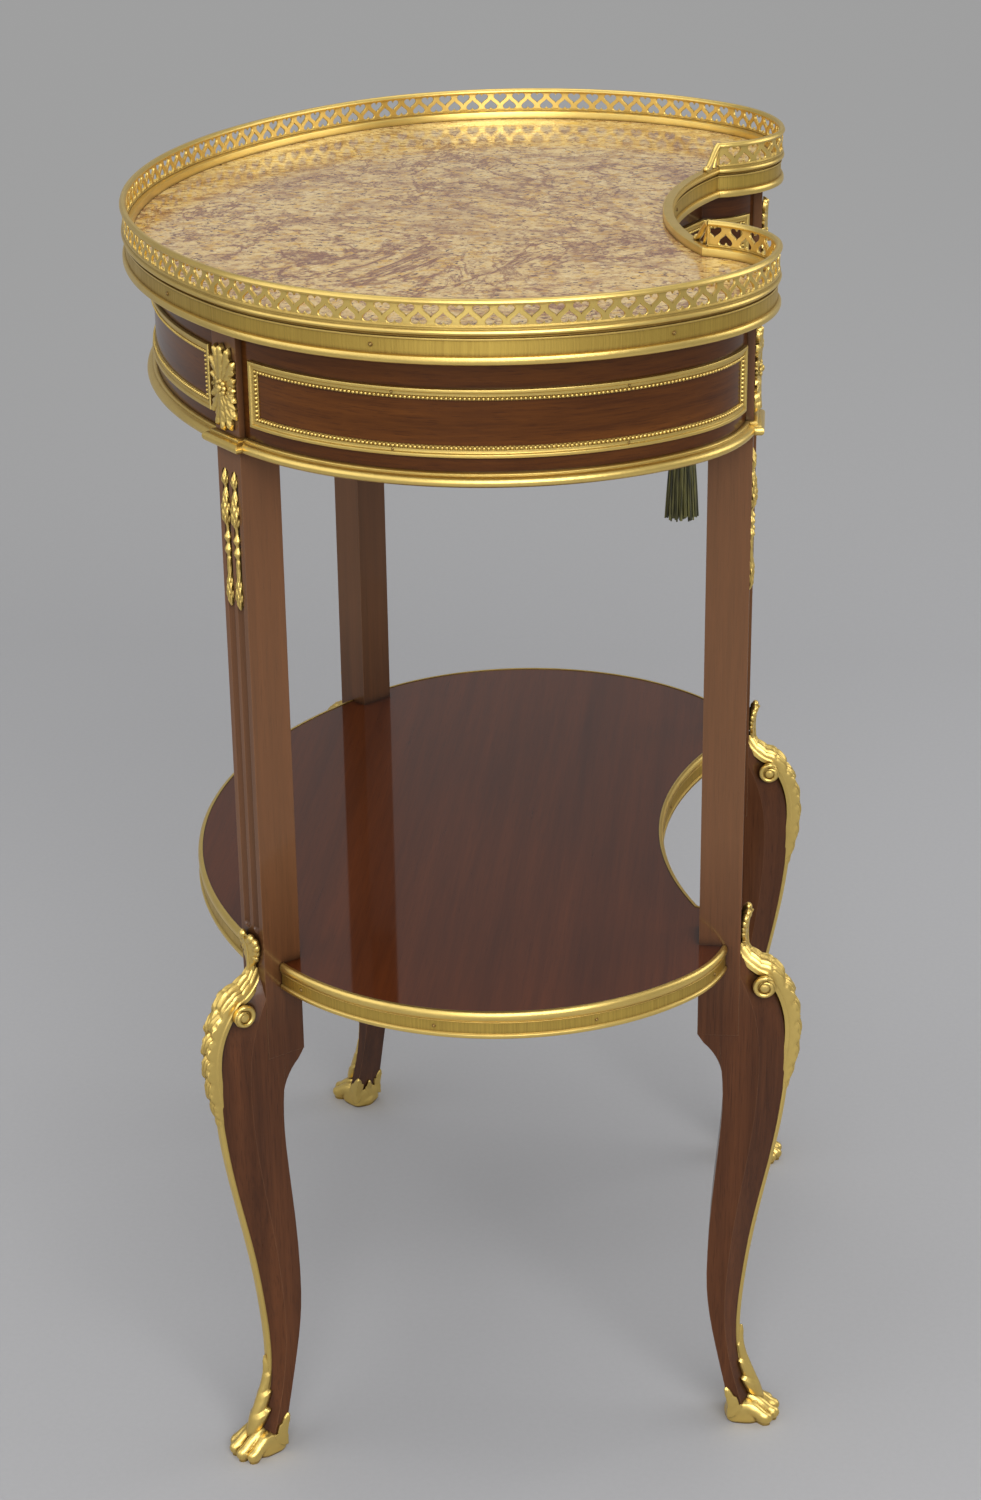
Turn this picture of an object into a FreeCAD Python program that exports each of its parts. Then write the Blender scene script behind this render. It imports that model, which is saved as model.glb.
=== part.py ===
import FreeCAD, Part
import math
import os
import Sketcher
from FreeCAD import Placement, Rotation, Vector

# Kidney-shaped table with a gallery, a frieze drawer, a shelf and four cabriole legs.
# Frame: +Z up, -Y is the concave drawer side, X is the long axis, floor at Z = 0.

SIZES = {
    # Plan of the top, from the plan centre
    "plan_offset": -20.5,
    "top_half_length": 294.8,
    "top_end_radius": 190,
    "top_back_rise": 41.7,
    "top_front_setback": 24,
    "top_shoulder_radius": 110,
    "top_lobe_radius": 58,
    "top_notch_depth": 65.5,
    "top_corner_angle": 17.55,
    # Plan of the shelf: what each size of the top's plan loses
    "shelf_half_length_loss": 22.8,
    "shelf_end_radius_loss": 24,
    "shelf_back_rise_loss": 0.7,
    "shelf_front_setback_loss": 5,
    "shelf_shoulder_radius_loss": 18,
    "shelf_lobe_radius_loss": 19,
    "shelf_notch_depth_loss": 17.5,
    "shelf_corner_angle_loss": -9.31,
    # Top: board, marble, edge band and gallery
    "rim_height": 760,
    "band_height": 20,
    "band_thickness": 3.6,
    "rim_cover": 3,
    "rim_width": 6.6,
    "marble_drop": 5,
    "marble_thickness": 8,
    "marble_clearance": 0.3,
    "gallery_height": 15,
    "gallery_setback": 1.2,
    "gallery_thickness": 1.6,
    "gallery_rail_width": 4.2,
    "gallery_rail_height": 3,
    "gallery_ramp_length": 18,
    "heart_pitch": 13.2,
    "heart_width": 8.2,
    "heart_height": 6.2,
    "heart_margin": 0.6,
    # Frieze
    "frieze_height": 70.2,
    "frieze_inset": 17,
    "rail_thickness": 18,
    "lower_rail_height": 9.2,
    "frame_height": 37.7,
    "frame_base": 15.7,
    "frame_width": 6.5,
    "frame_relief": 2.4,
    "frame_end_gap": 8,
    "moulding_height": 7.7,
    "moulding_relief": 6.2,
    # Legs
    "leg_size": 25,
    "leg_face_inset": 13.5,
    "back_leg_share": 0.945,
    "knee_drop": 62,
    "knee_reach": 43.2,
    "flute_foot_rise": 24,
    "flute_top_drop": 16.8,
    "flute_radius": 3.6,
    "flute_spacing": 10,
    "flute_depth": 2.4,
    "husk_length": 82.5,
    "husk_radius": 2.7,
    "strip_width": 6.4,
    "strip_relief": 2.2,
    "strip_seat": 1,
    "strip_edge": 0.8,
    "arris_setback": 0.2,
    "bracket_inset": 0.3,
    "knee_leaf_relief": 2.6,
    "scroll_radius": 7.2,
    "scroll_setback": 16,
    "scroll_rise": 33.5,
    "scroll_stand": 0.8,
    "post_leaf_height": 45,
    "post_leaf_width": 24,
    "heel_leaf_back": 7.2,
    "heel_leaf_depth": 9,
    "toe_radius": 5.6,
    "paw_reach": 44.5,
    # Shelf
    "shelf_height": 349,
    "shelf_band_height": 17,
    "shelf_band_thickness": 3,
    "shelf_thickness": 16,
    "shelf_lip": 0.5,
    # Drawer
    "drawer_gap": 0.5,
    "front_thickness": 14,
    "drawer_side_room": 15.4,
    "drawer_wall": 8,
    "drawer_height": 44,
    "drawer_back_room": 96.7,
    "drawer_bottom": 5,
    "drawer_lift": 1.5,
    "bottom_groove": 4,
    "runner_width": 22,
    "runner_gap": 0.3,
    "guide_width": 9,
    "guide_height": 10,
    # Lock, key and tassel
    "key_drop": 35.6,
    "lock_width": 50,
    "lock_height": 46,
    "lock_depth": 10,
    "lock_recess": 3,
    "lock_wall": 1.5,
    "bolt_width": 18,
    "bolt_throw": 6,
    "bolt_clearance": 0.3,
    "shank_radius": 2.5,
    "key_clearance": 0.08,
    "key_stand": 28,
    "bow_radius": 8,
    "bow_wire": 1.8,
    "bit_reach": 7,
    "escutcheon_width": 14,
    "escutcheon_height": 22,
    "escutcheon_thickness": 1.5,
    "cord_radius": 1,
    "cord_clearance": 0.3,
    "cord_drop": 72,
    "collar_length": 2.5,
    "collar_rim": 1.5,
    "bit_thickness": 2.4,
    "tassel_head_radius": 8,
    "tassel_skirt_radius": 11,
    "tassel_skirt_length": 58,
}

document = FreeCAD.newDocument("kidney_table")
sheet = document.addObject("Spreadsheet::Sheet", "sizes")
for row, (alias, value) in enumerate(SIZES.items(), 1):
    sheet.set(f"A{row}", alias)
    sheet.set(f"B{row}", str(value))
    sheet.setAlias(f"B{row}", alias)
document.recompute()

UP = Vector(0, 0, 1)
nodes = []


def size(alias):
    """Driving size in millimetres, read from the sheet."""
    return float(sheet.get(alias))


def keep(label, made):
    """Give a finished sub-part its label and list it for export."""
    made.Label = label
    nodes.append(made)
    return made


def feature(label, shape):
    """Sub-part whose shape is worked out here."""
    made = document.addObject("Part::Feature", label)
    made.Shape = shape
    return keep(label, made)


def bind(made, expressions):
    """Tie properties of an object to cells of the sheet."""
    for target, expression in expressions.items():
        made.setExpression(target, expression)
    return made


def solids(shape):
    """The one solid of a shape, or a compound of its solids."""
    found = shape.Solids
    return found[0] if len(found) == 1 else Part.Compound(found)


class Outline:
    """Kidney plan of tangent arcs that can be drawn at any inset and height."""

    def __init__(self, plan_size):
        self.origin_y = size("plan_offset")
        self.end_radius = plan_size("end_radius")
        self.shoulder_radius = plan_size("shoulder_radius")
        self.lobe_radius = plan_size("lobe_radius")
        self.front_reach = self.end_radius - plan_size("front_setback")
        back_reach = self.end_radius + plan_size("back_rise")
        self.end_x = plan_size("half_length") - self.end_radius
        square_gap = self.end_x**2 + back_reach**2 - self.end_radius**2
        self.back_radius = square_gap / (2 * (back_reach - self.end_radius))
        self.back_y = back_reach - self.back_radius
        self.shoulder_y = self.shoulder_radius - self.front_reach
        reach = (self.end_radius - self.shoulder_radius) ** 2 - self.shoulder_y**2
        self.lobe_x = self.end_x + math.sqrt(reach)
        self.lobe_y = self.lobe_radius - self.front_reach
        self.notch_reach = self.front_reach - plan_size("notch_depth")
        corner_angle = math.radians(plan_size("corner_angle"))
        corner_x = self.lobe_x - self.lobe_radius * math.cos(corner_angle)
        corner_drop = self.lobe_radius * math.sin(corner_angle) - self.lobe_y - self.notch_reach
        self.notch_radius = (corner_x**2 + corner_drop**2) / (2 * corner_drop)
        self.notch_y = -self.notch_reach - self.notch_radius
        self.back_sweep = math.atan2(self.end_x, -self.back_y)

    def corner(self, inset):
        """Right-hand corner where the lobe meets the notch, from the plan centre."""
        lobe = self.lobe_radius - inset
        notch = self.notch_radius + inset
        span = math.hypot(self.lobe_x, self.lobe_y - self.notch_y)
        along = (lobe**2 - notch**2 + span**2) / (2 * span)
        across = math.sqrt(lobe**2 - along**2)
        run_x = -self.lobe_x / span
        run_y = (self.notch_y - self.lobe_y) / span
        x = self.lobe_x + along * run_x + across * run_y
        y = self.lobe_y + along * run_y - across * run_x
        return x, y

    def arcs(self, inset):
        """Arcs as (centre x, centre y, radius, start, end), from the right corner round to it again."""
        x, y = self.corner(inset)
        turn = 2 * math.pi
        lobe_start = math.atan2(y - self.lobe_y, x - self.lobe_x) % turn
        tip = 1.5 * math.pi
        join = math.atan2(self.shoulder_y, self.lobe_x - self.end_x)
        back_start = math.atan2(-self.back_y, self.end_x)
        notch_end = math.atan2(y - self.notch_y, x)
        right = [
            (self.lobe_x, self.lobe_y, self.lobe_radius - inset, lobe_start, tip),
            (self.lobe_x, self.shoulder_y, self.shoulder_radius - inset, tip, turn + join),
            (self.end_x, 0, self.end_radius - inset, join, back_start),
        ]
        back = (0, self.back_y, self.back_radius - inset, back_start, math.pi - back_start)
        left = [(-cx, cy, r, math.pi - end, math.pi - start) for cx, cy, r, start, end in reversed(right)]
        notch = (0, self.notch_y, self.notch_radius + inset, math.pi - notch_end, notch_end)
        return right + [back] + left + [notch]

    def point(self, arc, angle, z):
        """Point at an angle of an arc."""
        cx, cy, radius = arc[:3]
        return Vector(cx + radius * math.cos(angle), self.origin_y + cy + radius * math.sin(angle), z)

    def edge(self, arc, z):
        """Arc edge at a height."""
        start, end = arc[3:]
        ends = (start, (start + end) / 2, end)
        return Part.Arc(*[self.point(arc, angle, z) for angle in ends]).toShape()

    def wire(self, inset, z):
        """Closed outline at an inset and a height."""
        return Part.Wire([self.edge(arc, z) for arc in self.arcs(inset)])

    def slab(self, inset, bottom, top):
        """Board with this plan between two heights."""
        return Part.Face(self.wire(inset, bottom)).extrude(UP * (top - bottom))

    def ring(self, outer, inner, bottom, top):
        """Upright wall between two insets."""
        return self.slab(outer, bottom, top).cut(self.slab(inner, bottom, top))

    def stack(self, profile):
        """Solid whose edge runs through (inset, height) points, from the lowest up."""
        return Part.makeLoft([self.wire(inset, z) for inset, z in profile], True, True)

    def strip(self, outer, inner, bottom, top):
        """Wall along every arc but the notch."""
        outside = self.arcs(outer)[:-1]
        inside = self.arcs(inner)[:-1]
        edges = [self.edge(arc, bottom) for arc in outside + inside]
        edges.append(Part.makeLine(self.point(outside[-1], outside[-1][4], bottom),
                                   self.point(inside[-1], inside[-1][4], bottom)))
        edges.append(Part.makeLine(self.point(inside[0], inside[0][3], bottom),
                                   self.point(outside[0], outside[0][3], bottom)))
        return Part.Face(Part.Wire(Part.__sortEdges__(edges))).extrude(UP * (top - bottom))


def top_plan(name):
    """Size of the top's plan."""
    return size("top_" + name)


def shelf_plan(name):
    """Size of the shelf's plan, smaller than the top's."""
    return top_plan(name) - size("shelf_" + name + "_loss")


top = Outline(top_plan)
shelf = Outline(shelf_plan)

# Heights that several pieces share
rim = size("rim_height")
under_top = rim - size("band_height")
marble_top = rim - size("marble_drop")
marble_bed = marble_top - size("marble_thickness")
frieze_foot = under_top - size("frieze_height")
drawer_foot = frieze_foot + size("lower_rail_height") + size("drawer_gap")
drawer_top = under_top - size("drawer_gap")
half_leg = size("leg_size") / 2
shelf_top = size("shelf_height")
post_foot = shelf_top - size("knee_drop")


# Legs: places and the square blanks that other pieces are cut to
def leg_places():
    """Placement of each leg: local X points outwards, local Z up."""
    places = {}
    face_to_axis = size("leg_face_inset") + half_leg
    angle = size("back_leg_share") * top.back_sweep
    reach = top.back_radius - face_to_axis
    for side, sign in (("left", -1), ("right", 1)):
        back = Vector(sign * reach * math.sin(angle), top.origin_y + top.back_y + reach * math.cos(angle), 0)
        front = Vector(sign * top.lobe_x, top.origin_y - top.front_reach + face_to_axis, 0)
        places["back_" + side] = Placement(back, Rotation(UP, 90 - sign * math.degrees(angle)))
        places["front_" + side] = Placement(front, Rotation(UP, -90))
    return places


places = leg_places()


def blank(place, side_gap, bottom, height, outward=0):
    """Square leg blank, widened sideways and outwards for clearance."""
    half_width = half_leg + side_gap
    corner = Vector(-half_leg, -half_width, bottom)
    block = Part.makeBox(2 * half_leg + outward, 2 * half_width, height, corner)
    block.Placement = place
    return block


def by_side(shape):
    """Solids of a shape by the side of the table they are on."""
    lengths = {}
    for piece in shape.Solids:
        middle = piece.BoundBox.Center
        if abs(middle.x) > top.end_x:
            lengths["left" if middle.x < 0 else "right"] = piece
        else:
            lengths["front" if middle.y < top.origin_y else "back"] = piece
    return lengths


def between_legs(wall, side_gap, bottom, height):
    """Cut a wall at the legs and return its lengths by the side they are on."""
    outward = 2 * size("leg_face_inset")
    return by_side(wall.cut([blank(place, side_gap, bottom, height, outward) for place in places.values()]))


# Top
board = top.slab(size("band_thickness"), under_top, rim - size("rim_cover"))
marble_well = top.slab(size("rim_width"), marble_bed, rim)
marble_inset = size("rim_width") + size("marble_clearance")
feature("marble_top", top.slab(marble_inset, marble_bed, marble_top))

# Edge band: bottom bead, flat band, cove and rim roll, as (inset, rise) from the bottom
BAND_PROFILE = [(1.4, 0), (0.2, 1.8), (0.4, 3.6), (2, 4.6), (2, 13.2), (2.6, 14.4),
                (1.2, 16.2), (0, 17.2), (0, 19), (0.9, 20)]
band_scale = size("band_height") / BAND_PROFILE[-1][1]
band = top.stack([(inset, under_top + rise * band_scale) for inset, rise in BAND_PROFILE])
feature("top_edge_band", solids(band.cut([board, top.slab(size("rim_width"), under_top, rim)])))


# Gallery: strip pierced by two staggered rows of hearts, under a rail, with ramped ends at the notch.
# Half a heart, from its tip, as shares of half its width and height: side, widest, lobe and cleft
HEART_SHARES = [(0, -1), (0.86, -0.02), (0.66, 1), (0, 0.6)]


def heart(centre, along, outward, flip):
    """Prism of a heart, its point up or down, through the gallery wall."""
    half = size("heart_width") / 2
    tall = flip * size("heart_height") / 2
    tip, right, lobe, cleft = [centre + along * (half * a) + UP * (tall * b) for a, b in HEART_SHARES]
    left, far_lobe = [centre - along * (half * a) + UP * (tall * b) for a, b in HEART_SHARES[1:3]]
    sides = [Part.makeLine(tip, right), Part.Arc(right, lobe, cleft).toShape(),
             Part.Arc(cleft, far_lobe, left).toShape(), Part.makeLine(left, tip)]
    depth = 4 * size("gallery_thickness")
    face = Part.Face(Part.Wire(sides))
    face.translate(outward * (-depth / 2))
    return face.extrude(outward * depth)


def gallery_hearts(foot, head):
    """Hearts all round the pierced strip: a row with points up, and between them one with points down."""
    middle_inset = size("gallery_setback") + size("gallery_thickness") / 2
    row_margin = size("heart_margin") + size("heart_height") / 2
    rows = ((foot + row_margin, -1, 0.25), (head - row_margin, 1, 0.75))
    cuts = []
    for arc in top.arcs(middle_inset)[:-1]:
        sweep = arc[4] - arc[3]
        count = max(1, round(sweep * arc[2] / size("heart_pitch")))
        for z, flip, shift in rows:
            for step in range(count):
                angle = arc[3] + sweep * (step + shift) / count
                outward = Vector(math.cos(angle), math.sin(angle), 0)
                cuts.append(heart(top.point(arc, angle, z), UP.cross(outward), outward, flip))
    return cuts


def gallery_ramp(sign, foot, head):
    """Scrolled end of the gallery that ramps down onto the notch rim."""
    outer = size("gallery_setback")
    inner = outer + size("gallery_thickness")
    corner_x, _ = top.corner(inner)
    wall = top.ring(outer, inner, foot, head)
    run = size("gallery_ramp_length")
    start = Vector(sign * (corner_x + size("gallery_thickness")), top.origin_y, foot)
    inward = Vector(-sign, 0, 0)
    slope = [start, start + inward * run, start + UP * (head - foot)]
    wedge = Part.Face(Part.makePolygon(slope + slope[:1]))
    wedge.translate(Vector(0, -top.front_reach, 0))
    return wall.common(wedge.extrude(Vector(0, top.front_reach, 0)))


gallery_head = rim + size("gallery_height")
rail_foot = gallery_head - size("gallery_rail_height")
wall_inset = size("gallery_setback")
wall_inner = wall_inset + size("gallery_thickness")
rail_inset = wall_inset + (size("gallery_thickness") - size("gallery_rail_width")) / 2
gallery = top.strip(wall_inset, wall_inner, rim, rail_foot).cut(gallery_hearts(rim, rail_foot))
gallery_rail = top.strip(rail_inset, rail_inset + size("gallery_rail_width"), rail_foot, gallery_head)
ramps = [gallery_ramp(sign, rim, gallery_head) for sign in (-1, 1)]
feature("pierced_gallery", solids(gallery.fuse([gallery_rail] + ramps)))

# Frieze
rail_inner = size("frieze_inset") + size("rail_thickness")
frieze = top.ring(size("frieze_inset"), rail_inner, frieze_foot, under_top)
rails = between_legs(frieze, 0, frieze_foot, size("frieze_height"))
for side in ("back", "left", "right"):
    feature("frieze_rail_" + side, rails[side])
lower = top.ring(size("frieze_inset"), rail_inner, frieze_foot, frieze_foot + size("lower_rail_height"))
lower_rail = between_legs(lower, 0, frieze_foot, size("frieze_height"))["front"]
feature("drawer_rail", lower_rail)

# Base moulding of the frieze, as (share of relief, share of height)
MOULDING_SHARES = [(0.7, 0), (1, 0.26), (1, 0.52), (0.6, 0.7), (0.4, 1)]


def moulding_levels():
    """Relief and height of each line of the base moulding."""
    return [(relief * size("moulding_relief"), frieze_foot + rise * size("moulding_height"))
            for relief, rise in MOULDING_SHARES]


def post_break(place):
    """Block of moulding that steps forward round a post, before the post is cut out."""
    levels = []
    for relief, z in moulding_levels():
        across = half_leg + relief
        corners = [Vector(-half_leg, -across, z), Vector(across, -across, z),
                   Vector(across, across, z), Vector(-half_leg, across, z)]
        levels.append(Part.makePolygon(corners + corners[:1]))
    block = Part.makeLoft(levels, True, True)
    block.Placement = place
    return block


moulding_head = frieze_foot + size("moulding_height")
moulding = top.stack([(size("frieze_inset") - relief, z) for relief, z in moulding_levels()])
core = top.slab(size("frieze_inset"), frieze_foot, moulding_head)
breaks = [post_break(place) for place in places.values()]
posts = [blank(place, 0, frieze_foot, size("frieze_height")) for place in places.values()]
for side, piece in by_side(moulding.cut([core] + breaks)).items():
    feature("frieze_moulding_" + side, piece)
feature("frieze_moulding_breaks", Part.Compound([solids(step.cut([core] + posts)) for step in breaks]))

# Beaded frames on the frieze panels
frame_foot = frieze_foot + size("frame_base")
frame_face = size("frieze_inset") - size("frame_relief")


def panel_frames():
    """Frame of each frieze panel, by side."""
    width = size("frame_width")
    height = size("frame_height")
    outer = top.ring(frame_face, size("frieze_inset"), frame_foot, frame_foot + height)
    inner = top.ring(frame_face, size("frieze_inset"), frame_foot + width, frame_foot + height - width)
    gap = size("frame_end_gap")
    outside = between_legs(outer, gap, frieze_foot, size("frieze_height"))
    openings = between_legs(inner, gap + width, frieze_foot, size("frieze_height"))
    return {side: outside[side].cut(openings[side]) for side in outside}


frames = panel_frames()
for side in ("back", "left", "right"):
    feature("panel_frame_" + side, frames[side])
feature("panel_frame_drawer", frames["front"])

# Shelf and its edge band
shelf_foot = shelf_top - size("shelf_band_height")
board_top = shelf_top - size("shelf_lip")
leg_holes = [blank(place, 0, 0, under_top) for place in places.values()]
shelf_board = shelf.slab(size("shelf_band_thickness"), board_top - size("shelf_thickness"), board_top)
feature("shelf_board", solids(shelf_board.cut(leg_holes)))
SHELF_BAND_PROFILE = [(0.7, 0), (0, 1.2), (0, 2.6), (1.2, 3.3), (1.2, 10.4), (0.2, 11.2), (0, 14), (1.2, 17)]
shelf_scale = size("shelf_band_height") / SHELF_BAND_PROFILE[-1][1]
shelf_ring = shelf.stack([(inset, shelf_foot + rise * shelf_scale) for inset, rise in SHELF_BAND_PROFILE])
shelf_ring = shelf_ring.cut(shelf.slab(size("shelf_band_thickness"), shelf_foot, shelf_top))
for side, piece in between_legs(shelf_ring, 0, 0, under_top).items():
    feature("shelf_band_" + side, piece)

# Leg: cabriole stations down the leg as (front reach, front height, back reach, back height, half width),
# in shares of the knee's reach, of the height up to the post and of half the post. The strip runs from the
# fifth to the last but one, which is the ankle
STATION_SHARES = [
    (0.255, 1.206, 0, 1.15, 0.976), (0.718, 1.122, 0, 1.073, 0.976),
    (0.949, 1.042, 0.023, 0.997, 0.976), (1, 0.958, 0.058, 0.927, 0.984),
    (0.956, 0.871, 0.088, 0.857, 0.992), (0.856, 0.749, 0.065, 0.76, 0.984),
    (0.657, 0.592, -0.019, 0.613, 0.96), (0.486, 0.446, -0.081, 0.46, 0.896),
    (0.391, 0.321, -0.079, 0.348, 0.816), (0.368, 0.23, -0.012, 0.265, 0.784),
    (0.451, 0.132, 0.127, 0.16, 0.816), (0.625, 0.049, 0.289, 0.049, 0.88),
]
CREASE_SHARE = 0.57
# Bracket behind the knee, as shares of half the post: corners, then the middle of its hollow
BRACKET_SHARES = [(-1, 0.16), (-1, 0), (-0.68, -0.48), (0.288, -2.64), (0.96, -2.64), (0.96, 0.16)]
HOLLOW_SHARES = (-0.064, -1.24)


def stations():
    """Stations at this leg's sizes."""
    reach = size("knee_reach")
    return [(front_n * reach, front_z * post_foot, back_n * reach, back_z * post_foot, half * half_leg)
            for front_n, front_z, back_n, back_z, half in STATION_SHARES]


def limb_section(front_n, front_z, back_n, back_z, half):
    """Six-sided section of the limb: square behind the crease, tapering to the front arris."""
    crease_n = back_n + CREASE_SHARE * (front_n - back_n)
    crease_z = back_z + CREASE_SHARE * (front_z - back_z)
    arris = size("strip_width") / 2 - size("arris_setback")
    corners = [(back_n, -half, back_z), (crease_n, -half, crease_z), (front_n, -arris, front_z),
               (front_n, arris, front_z), (crease_n, half, crease_z), (back_n, half, back_z)]
    points = [Vector(*corner) for corner in corners]
    return Part.makePolygon(points + points[:1])


flute_foot = shelf_top + size("flute_foot_rise")
flute_top = frieze_foot - size("flute_top_drop")


def leg_solid():
    """Leg in its own frame: fluted square post, bracket behind the knee and cabriole limb."""
    post = blank(Placement(), 0, post_foot, under_top - post_foot)
    limb = Part.makeLoft([limb_section(*station) for station in stations()], True, False)
    inset = size("bracket_inset")
    bend = [Vector(n * half_leg, inset - half_leg, post_foot + rise * half_leg)
            for n, rise in BRACKET_SHARES + [HOLLOW_SHARES]]
    hollow = bend.pop()
    sides = [Part.makeLine(start, end) for start, end in zip(bend, bend[1:] + bend[:1])]
    sides[2] = Part.Arc(bend[2], hollow, bend[3]).toShape()
    bracket = Part.Face(Part.Wire(sides)).extrude(Vector(0, 2 * (half_leg - inset), 0))
    leg = post.fuse([limb, bracket])
    radius = size("flute_radius")
    axis_n = half_leg + radius - size("flute_depth")
    for sign in (-1, 1):
        base = Vector(axis_n, sign * size("flute_spacing") / 2, flute_foot)
        run = flute_top - flute_foot
        flute = Part.makeCylinder(radius, run, base)
        ends = [Part.makeSphere(radius, base), Part.makeSphere(radius, base + UP * run)]
        leg = leg.cut(flute.fuse(ends))
    return solids(leg.removeSplitter())


def edge_strip(leg):
    """Gilt strip down the front arris, from the knee mount to the sabot."""
    levels = []
    half = size("strip_width") / 2
    for front_n, front_z, _, _, _ in stations()[4:-1]:
        seat = front_n - size("strip_seat")
        edge = front_n + size("strip_edge")
        lip = front_n + size("strip_relief")
        corners = [Vector(seat, -half, front_z), Vector(edge, -half, front_z),
                   Vector(lip, -half / 2, front_z), Vector(lip, half / 2, front_z),
                   Vector(edge, half, front_z), Vector(seat, half, front_z)]
        levels.append(Part.makePolygon(corners + corners[:1]))
    return solids(Part.makeLoft(levels, True, False).cut(leg))


leg = leg_solid()
strip = edge_strip(leg)


def prism(outline, normal):
    """Straight prism over a closed list of points."""
    return Part.Face(Part.makePolygon(outline + outline[:1])).extrude(normal)


def six_sided(back_n, front_n, half, arris, z, crease_share=0.75):
    """Level six-sided section, square behind and narrowed to the front."""
    crease_n = back_n + crease_share * (front_n - back_n)
    corners = [(back_n, -half), (crease_n, -half), (front_n, -arris),
               (front_n, arris), (crease_n, half), (back_n, half)]
    points = [Vector(n, t, z) for n, t in corners]
    return Part.makePolygon(points + points[:1])


# Knee mount: leaf on the fluted face as (across, rise from the post foot), saddle over the knee as
# (rise from the post foot, back, front reach past the knee, half width), and a scroll on each side
KNEE_LEAF = [(-5, 50), (-8.5, 63), (-6.5, 73), (0, 79), (6.5, 73), (8.5, 63), (5, 50)]
SADDLE = [(58, 11, -28, 5), (49, 11, -13, 6.6), (35, 20, -1, 7), (15, 30, 5.4, 5.6),
          (-2, 33, 7.5, 4.8), (-17, 34, 6.8, 4.2), (-26, 34, 2.3, 3.6)]


def knee_mount(leg, strip):
    """Knee mount, hollowed to sit on the leg."""
    knee = size("knee_reach")
    face = [Vector(half_leg, t, post_foot + rise) for t, rise in KNEE_LEAF]
    plate = prism(face, Vector(size("knee_leaf_relief"), 0, 0))
    sections = [six_sided(back, knee + past, half, half / 2, post_foot + rise)
                for rise, back, past, half in SADDLE]
    saddle = Part.makeLoft(sections, True, True)
    width = 2 * (half_leg + size("scroll_stand"))
    eye = Vector(knee - size("scroll_setback"), -width / 2, post_foot + size("scroll_rise"))
    scroll = Part.makeCylinder(size("scroll_radius"), width, eye, Vector(0, 1, 0))
    return solids(saddle.fuse([plate, scroll]).cut([leg, strip]))


# Sabot: sections of a lion's paw as (heel, front from the tip of the paw, half width, half front, height),
# toes as (setback, across), sections of the cuff as (back, front, half width, half front, height), and the
# leaf up the heel as (across, height)
PAW_SECTIONS = [(9, -4, 13, 7.5, 0), (8, -3.5, 13, 7.5, 8), (8.5, -12, 12.8, 6, 17)]
TOES = [(0, -4), (0, 4), (3.6, -10.6), (3.6, 10.6)]
CUFF = [(15, 33, 10, 5.5, 12), (14.5, 29, 8.8, 4.4, 28), (14, 24, 7.4, 3.6, 42),
        (13.5, 20.4, 5.4, 2.7, 56), (14, 19, 2.6, 1.3, 68)]
HEEL_LEAF = [(-6.5, 8), (6.5, 8), (5, 18), (0, 27), (-5, 18)]


def sabot(leg, strip):
    """Paw sabot with a cuff and a heel leaf, hollowed for the foot of the leg and open at the sides."""
    reach = size("paw_reach")
    toe = size("toe_radius")
    sections = [six_sided(heel, reach + front, wide, arris, z)
                for heel, front, wide, arris, z in PAW_SECTIONS]
    paw = Part.makeLoft(sections, True, True)
    toes = [Part.makeSphere(toe, Vector(reach - toe - back, t, toe)) for back, t in TOES]
    cuff = Part.makeLoft([six_sided(*section) for section in CUFF], True, True)
    back = [Vector(size("heel_leaf_back"), t, z) for t, z in HEEL_LEAF]
    heel = prism(back, Vector(size("heel_leaf_depth"), 0, 0))
    return solids(paw.fuse(toes + [cuff, heel]).cut([leg, strip]))


# Acanthus mount of the post: half outline as (share of half width, share of half height)
LEAF_SHARES = [(0, -1), (0.42, -0.78), (0.55, -0.35), (1, -0.12),
               (0.72, 0.22), (0.92, 0.58), (0.42, 0.72), (0, 1)]


def post_leaf(leg):
    """Leaf mount on the outer face of the post, with a boss."""
    half_width = size("post_leaf_width") / 2
    half_height = size("post_leaf_height") / 2
    middle = frame_foot + size("frame_height") / 2
    mirrored = [(-a, b) for a, b in reversed(LEAF_SHARES[1:-1])]
    face = [Vector(half_leg, a * half_width, middle + b * half_height) for a, b in LEAF_SHARES + mirrored]
    boss = Part.makeSphere(half_width / 2, Vector(half_leg, 0, middle - half_height / 4))
    return solids(prism(face, Vector(size("frame_relief"), 0, 0)).fuse(boss).cut(leg))


# Husk in the head of a flute, as (share of radius, share of length) from the top
HUSK_SHARES = [(0, 0), (0.8, 0.06), (1, 0.14), (0.4, 0.24), (0.8, 0.27), (0.4, 0.3),
                (0.4, 0.78), (0.9, 0.8), (0.5, 0.83), (1, 0.9), (0.7, 1), (0, 1)]


def flute_husks():
    """The two husks of one leg, seated on the floor of its flutes."""
    top_z = flute_top + size("flute_radius")
    axis_n = half_leg - size("flute_depth") + size("husk_radius")
    made = []
    for sign in (-1, 1):
        axis = Vector(axis_n, sign * size("flute_spacing") / 2, top_z)
        line = [axis + Vector(a * size("husk_radius"), 0, -b * size("husk_length")) for a, b in HUSK_SHARES]
        made.append(Part.Face(Part.makePolygon(line + line[:1])).revolve(axis, UP, 360))
    return made


leg_pieces = {
    "leg": leg,
    "edge_strip": strip,
    "knee_mount": knee_mount(leg, strip),
    "sabot": sabot(leg, strip),
    "post_leaf": post_leaf(leg),
}
for name, place in places.items():
    for piece, shape in leg_pieces.items():
        made = feature(piece + "_" + name, shape)
        made.Placement = place
all_husks = []
for place in places.values():
    for husk in flute_husks():
        husk.Placement = place
        all_husks.append(husk)
feature("flute_husks", Part.Compound(all_husks))


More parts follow.
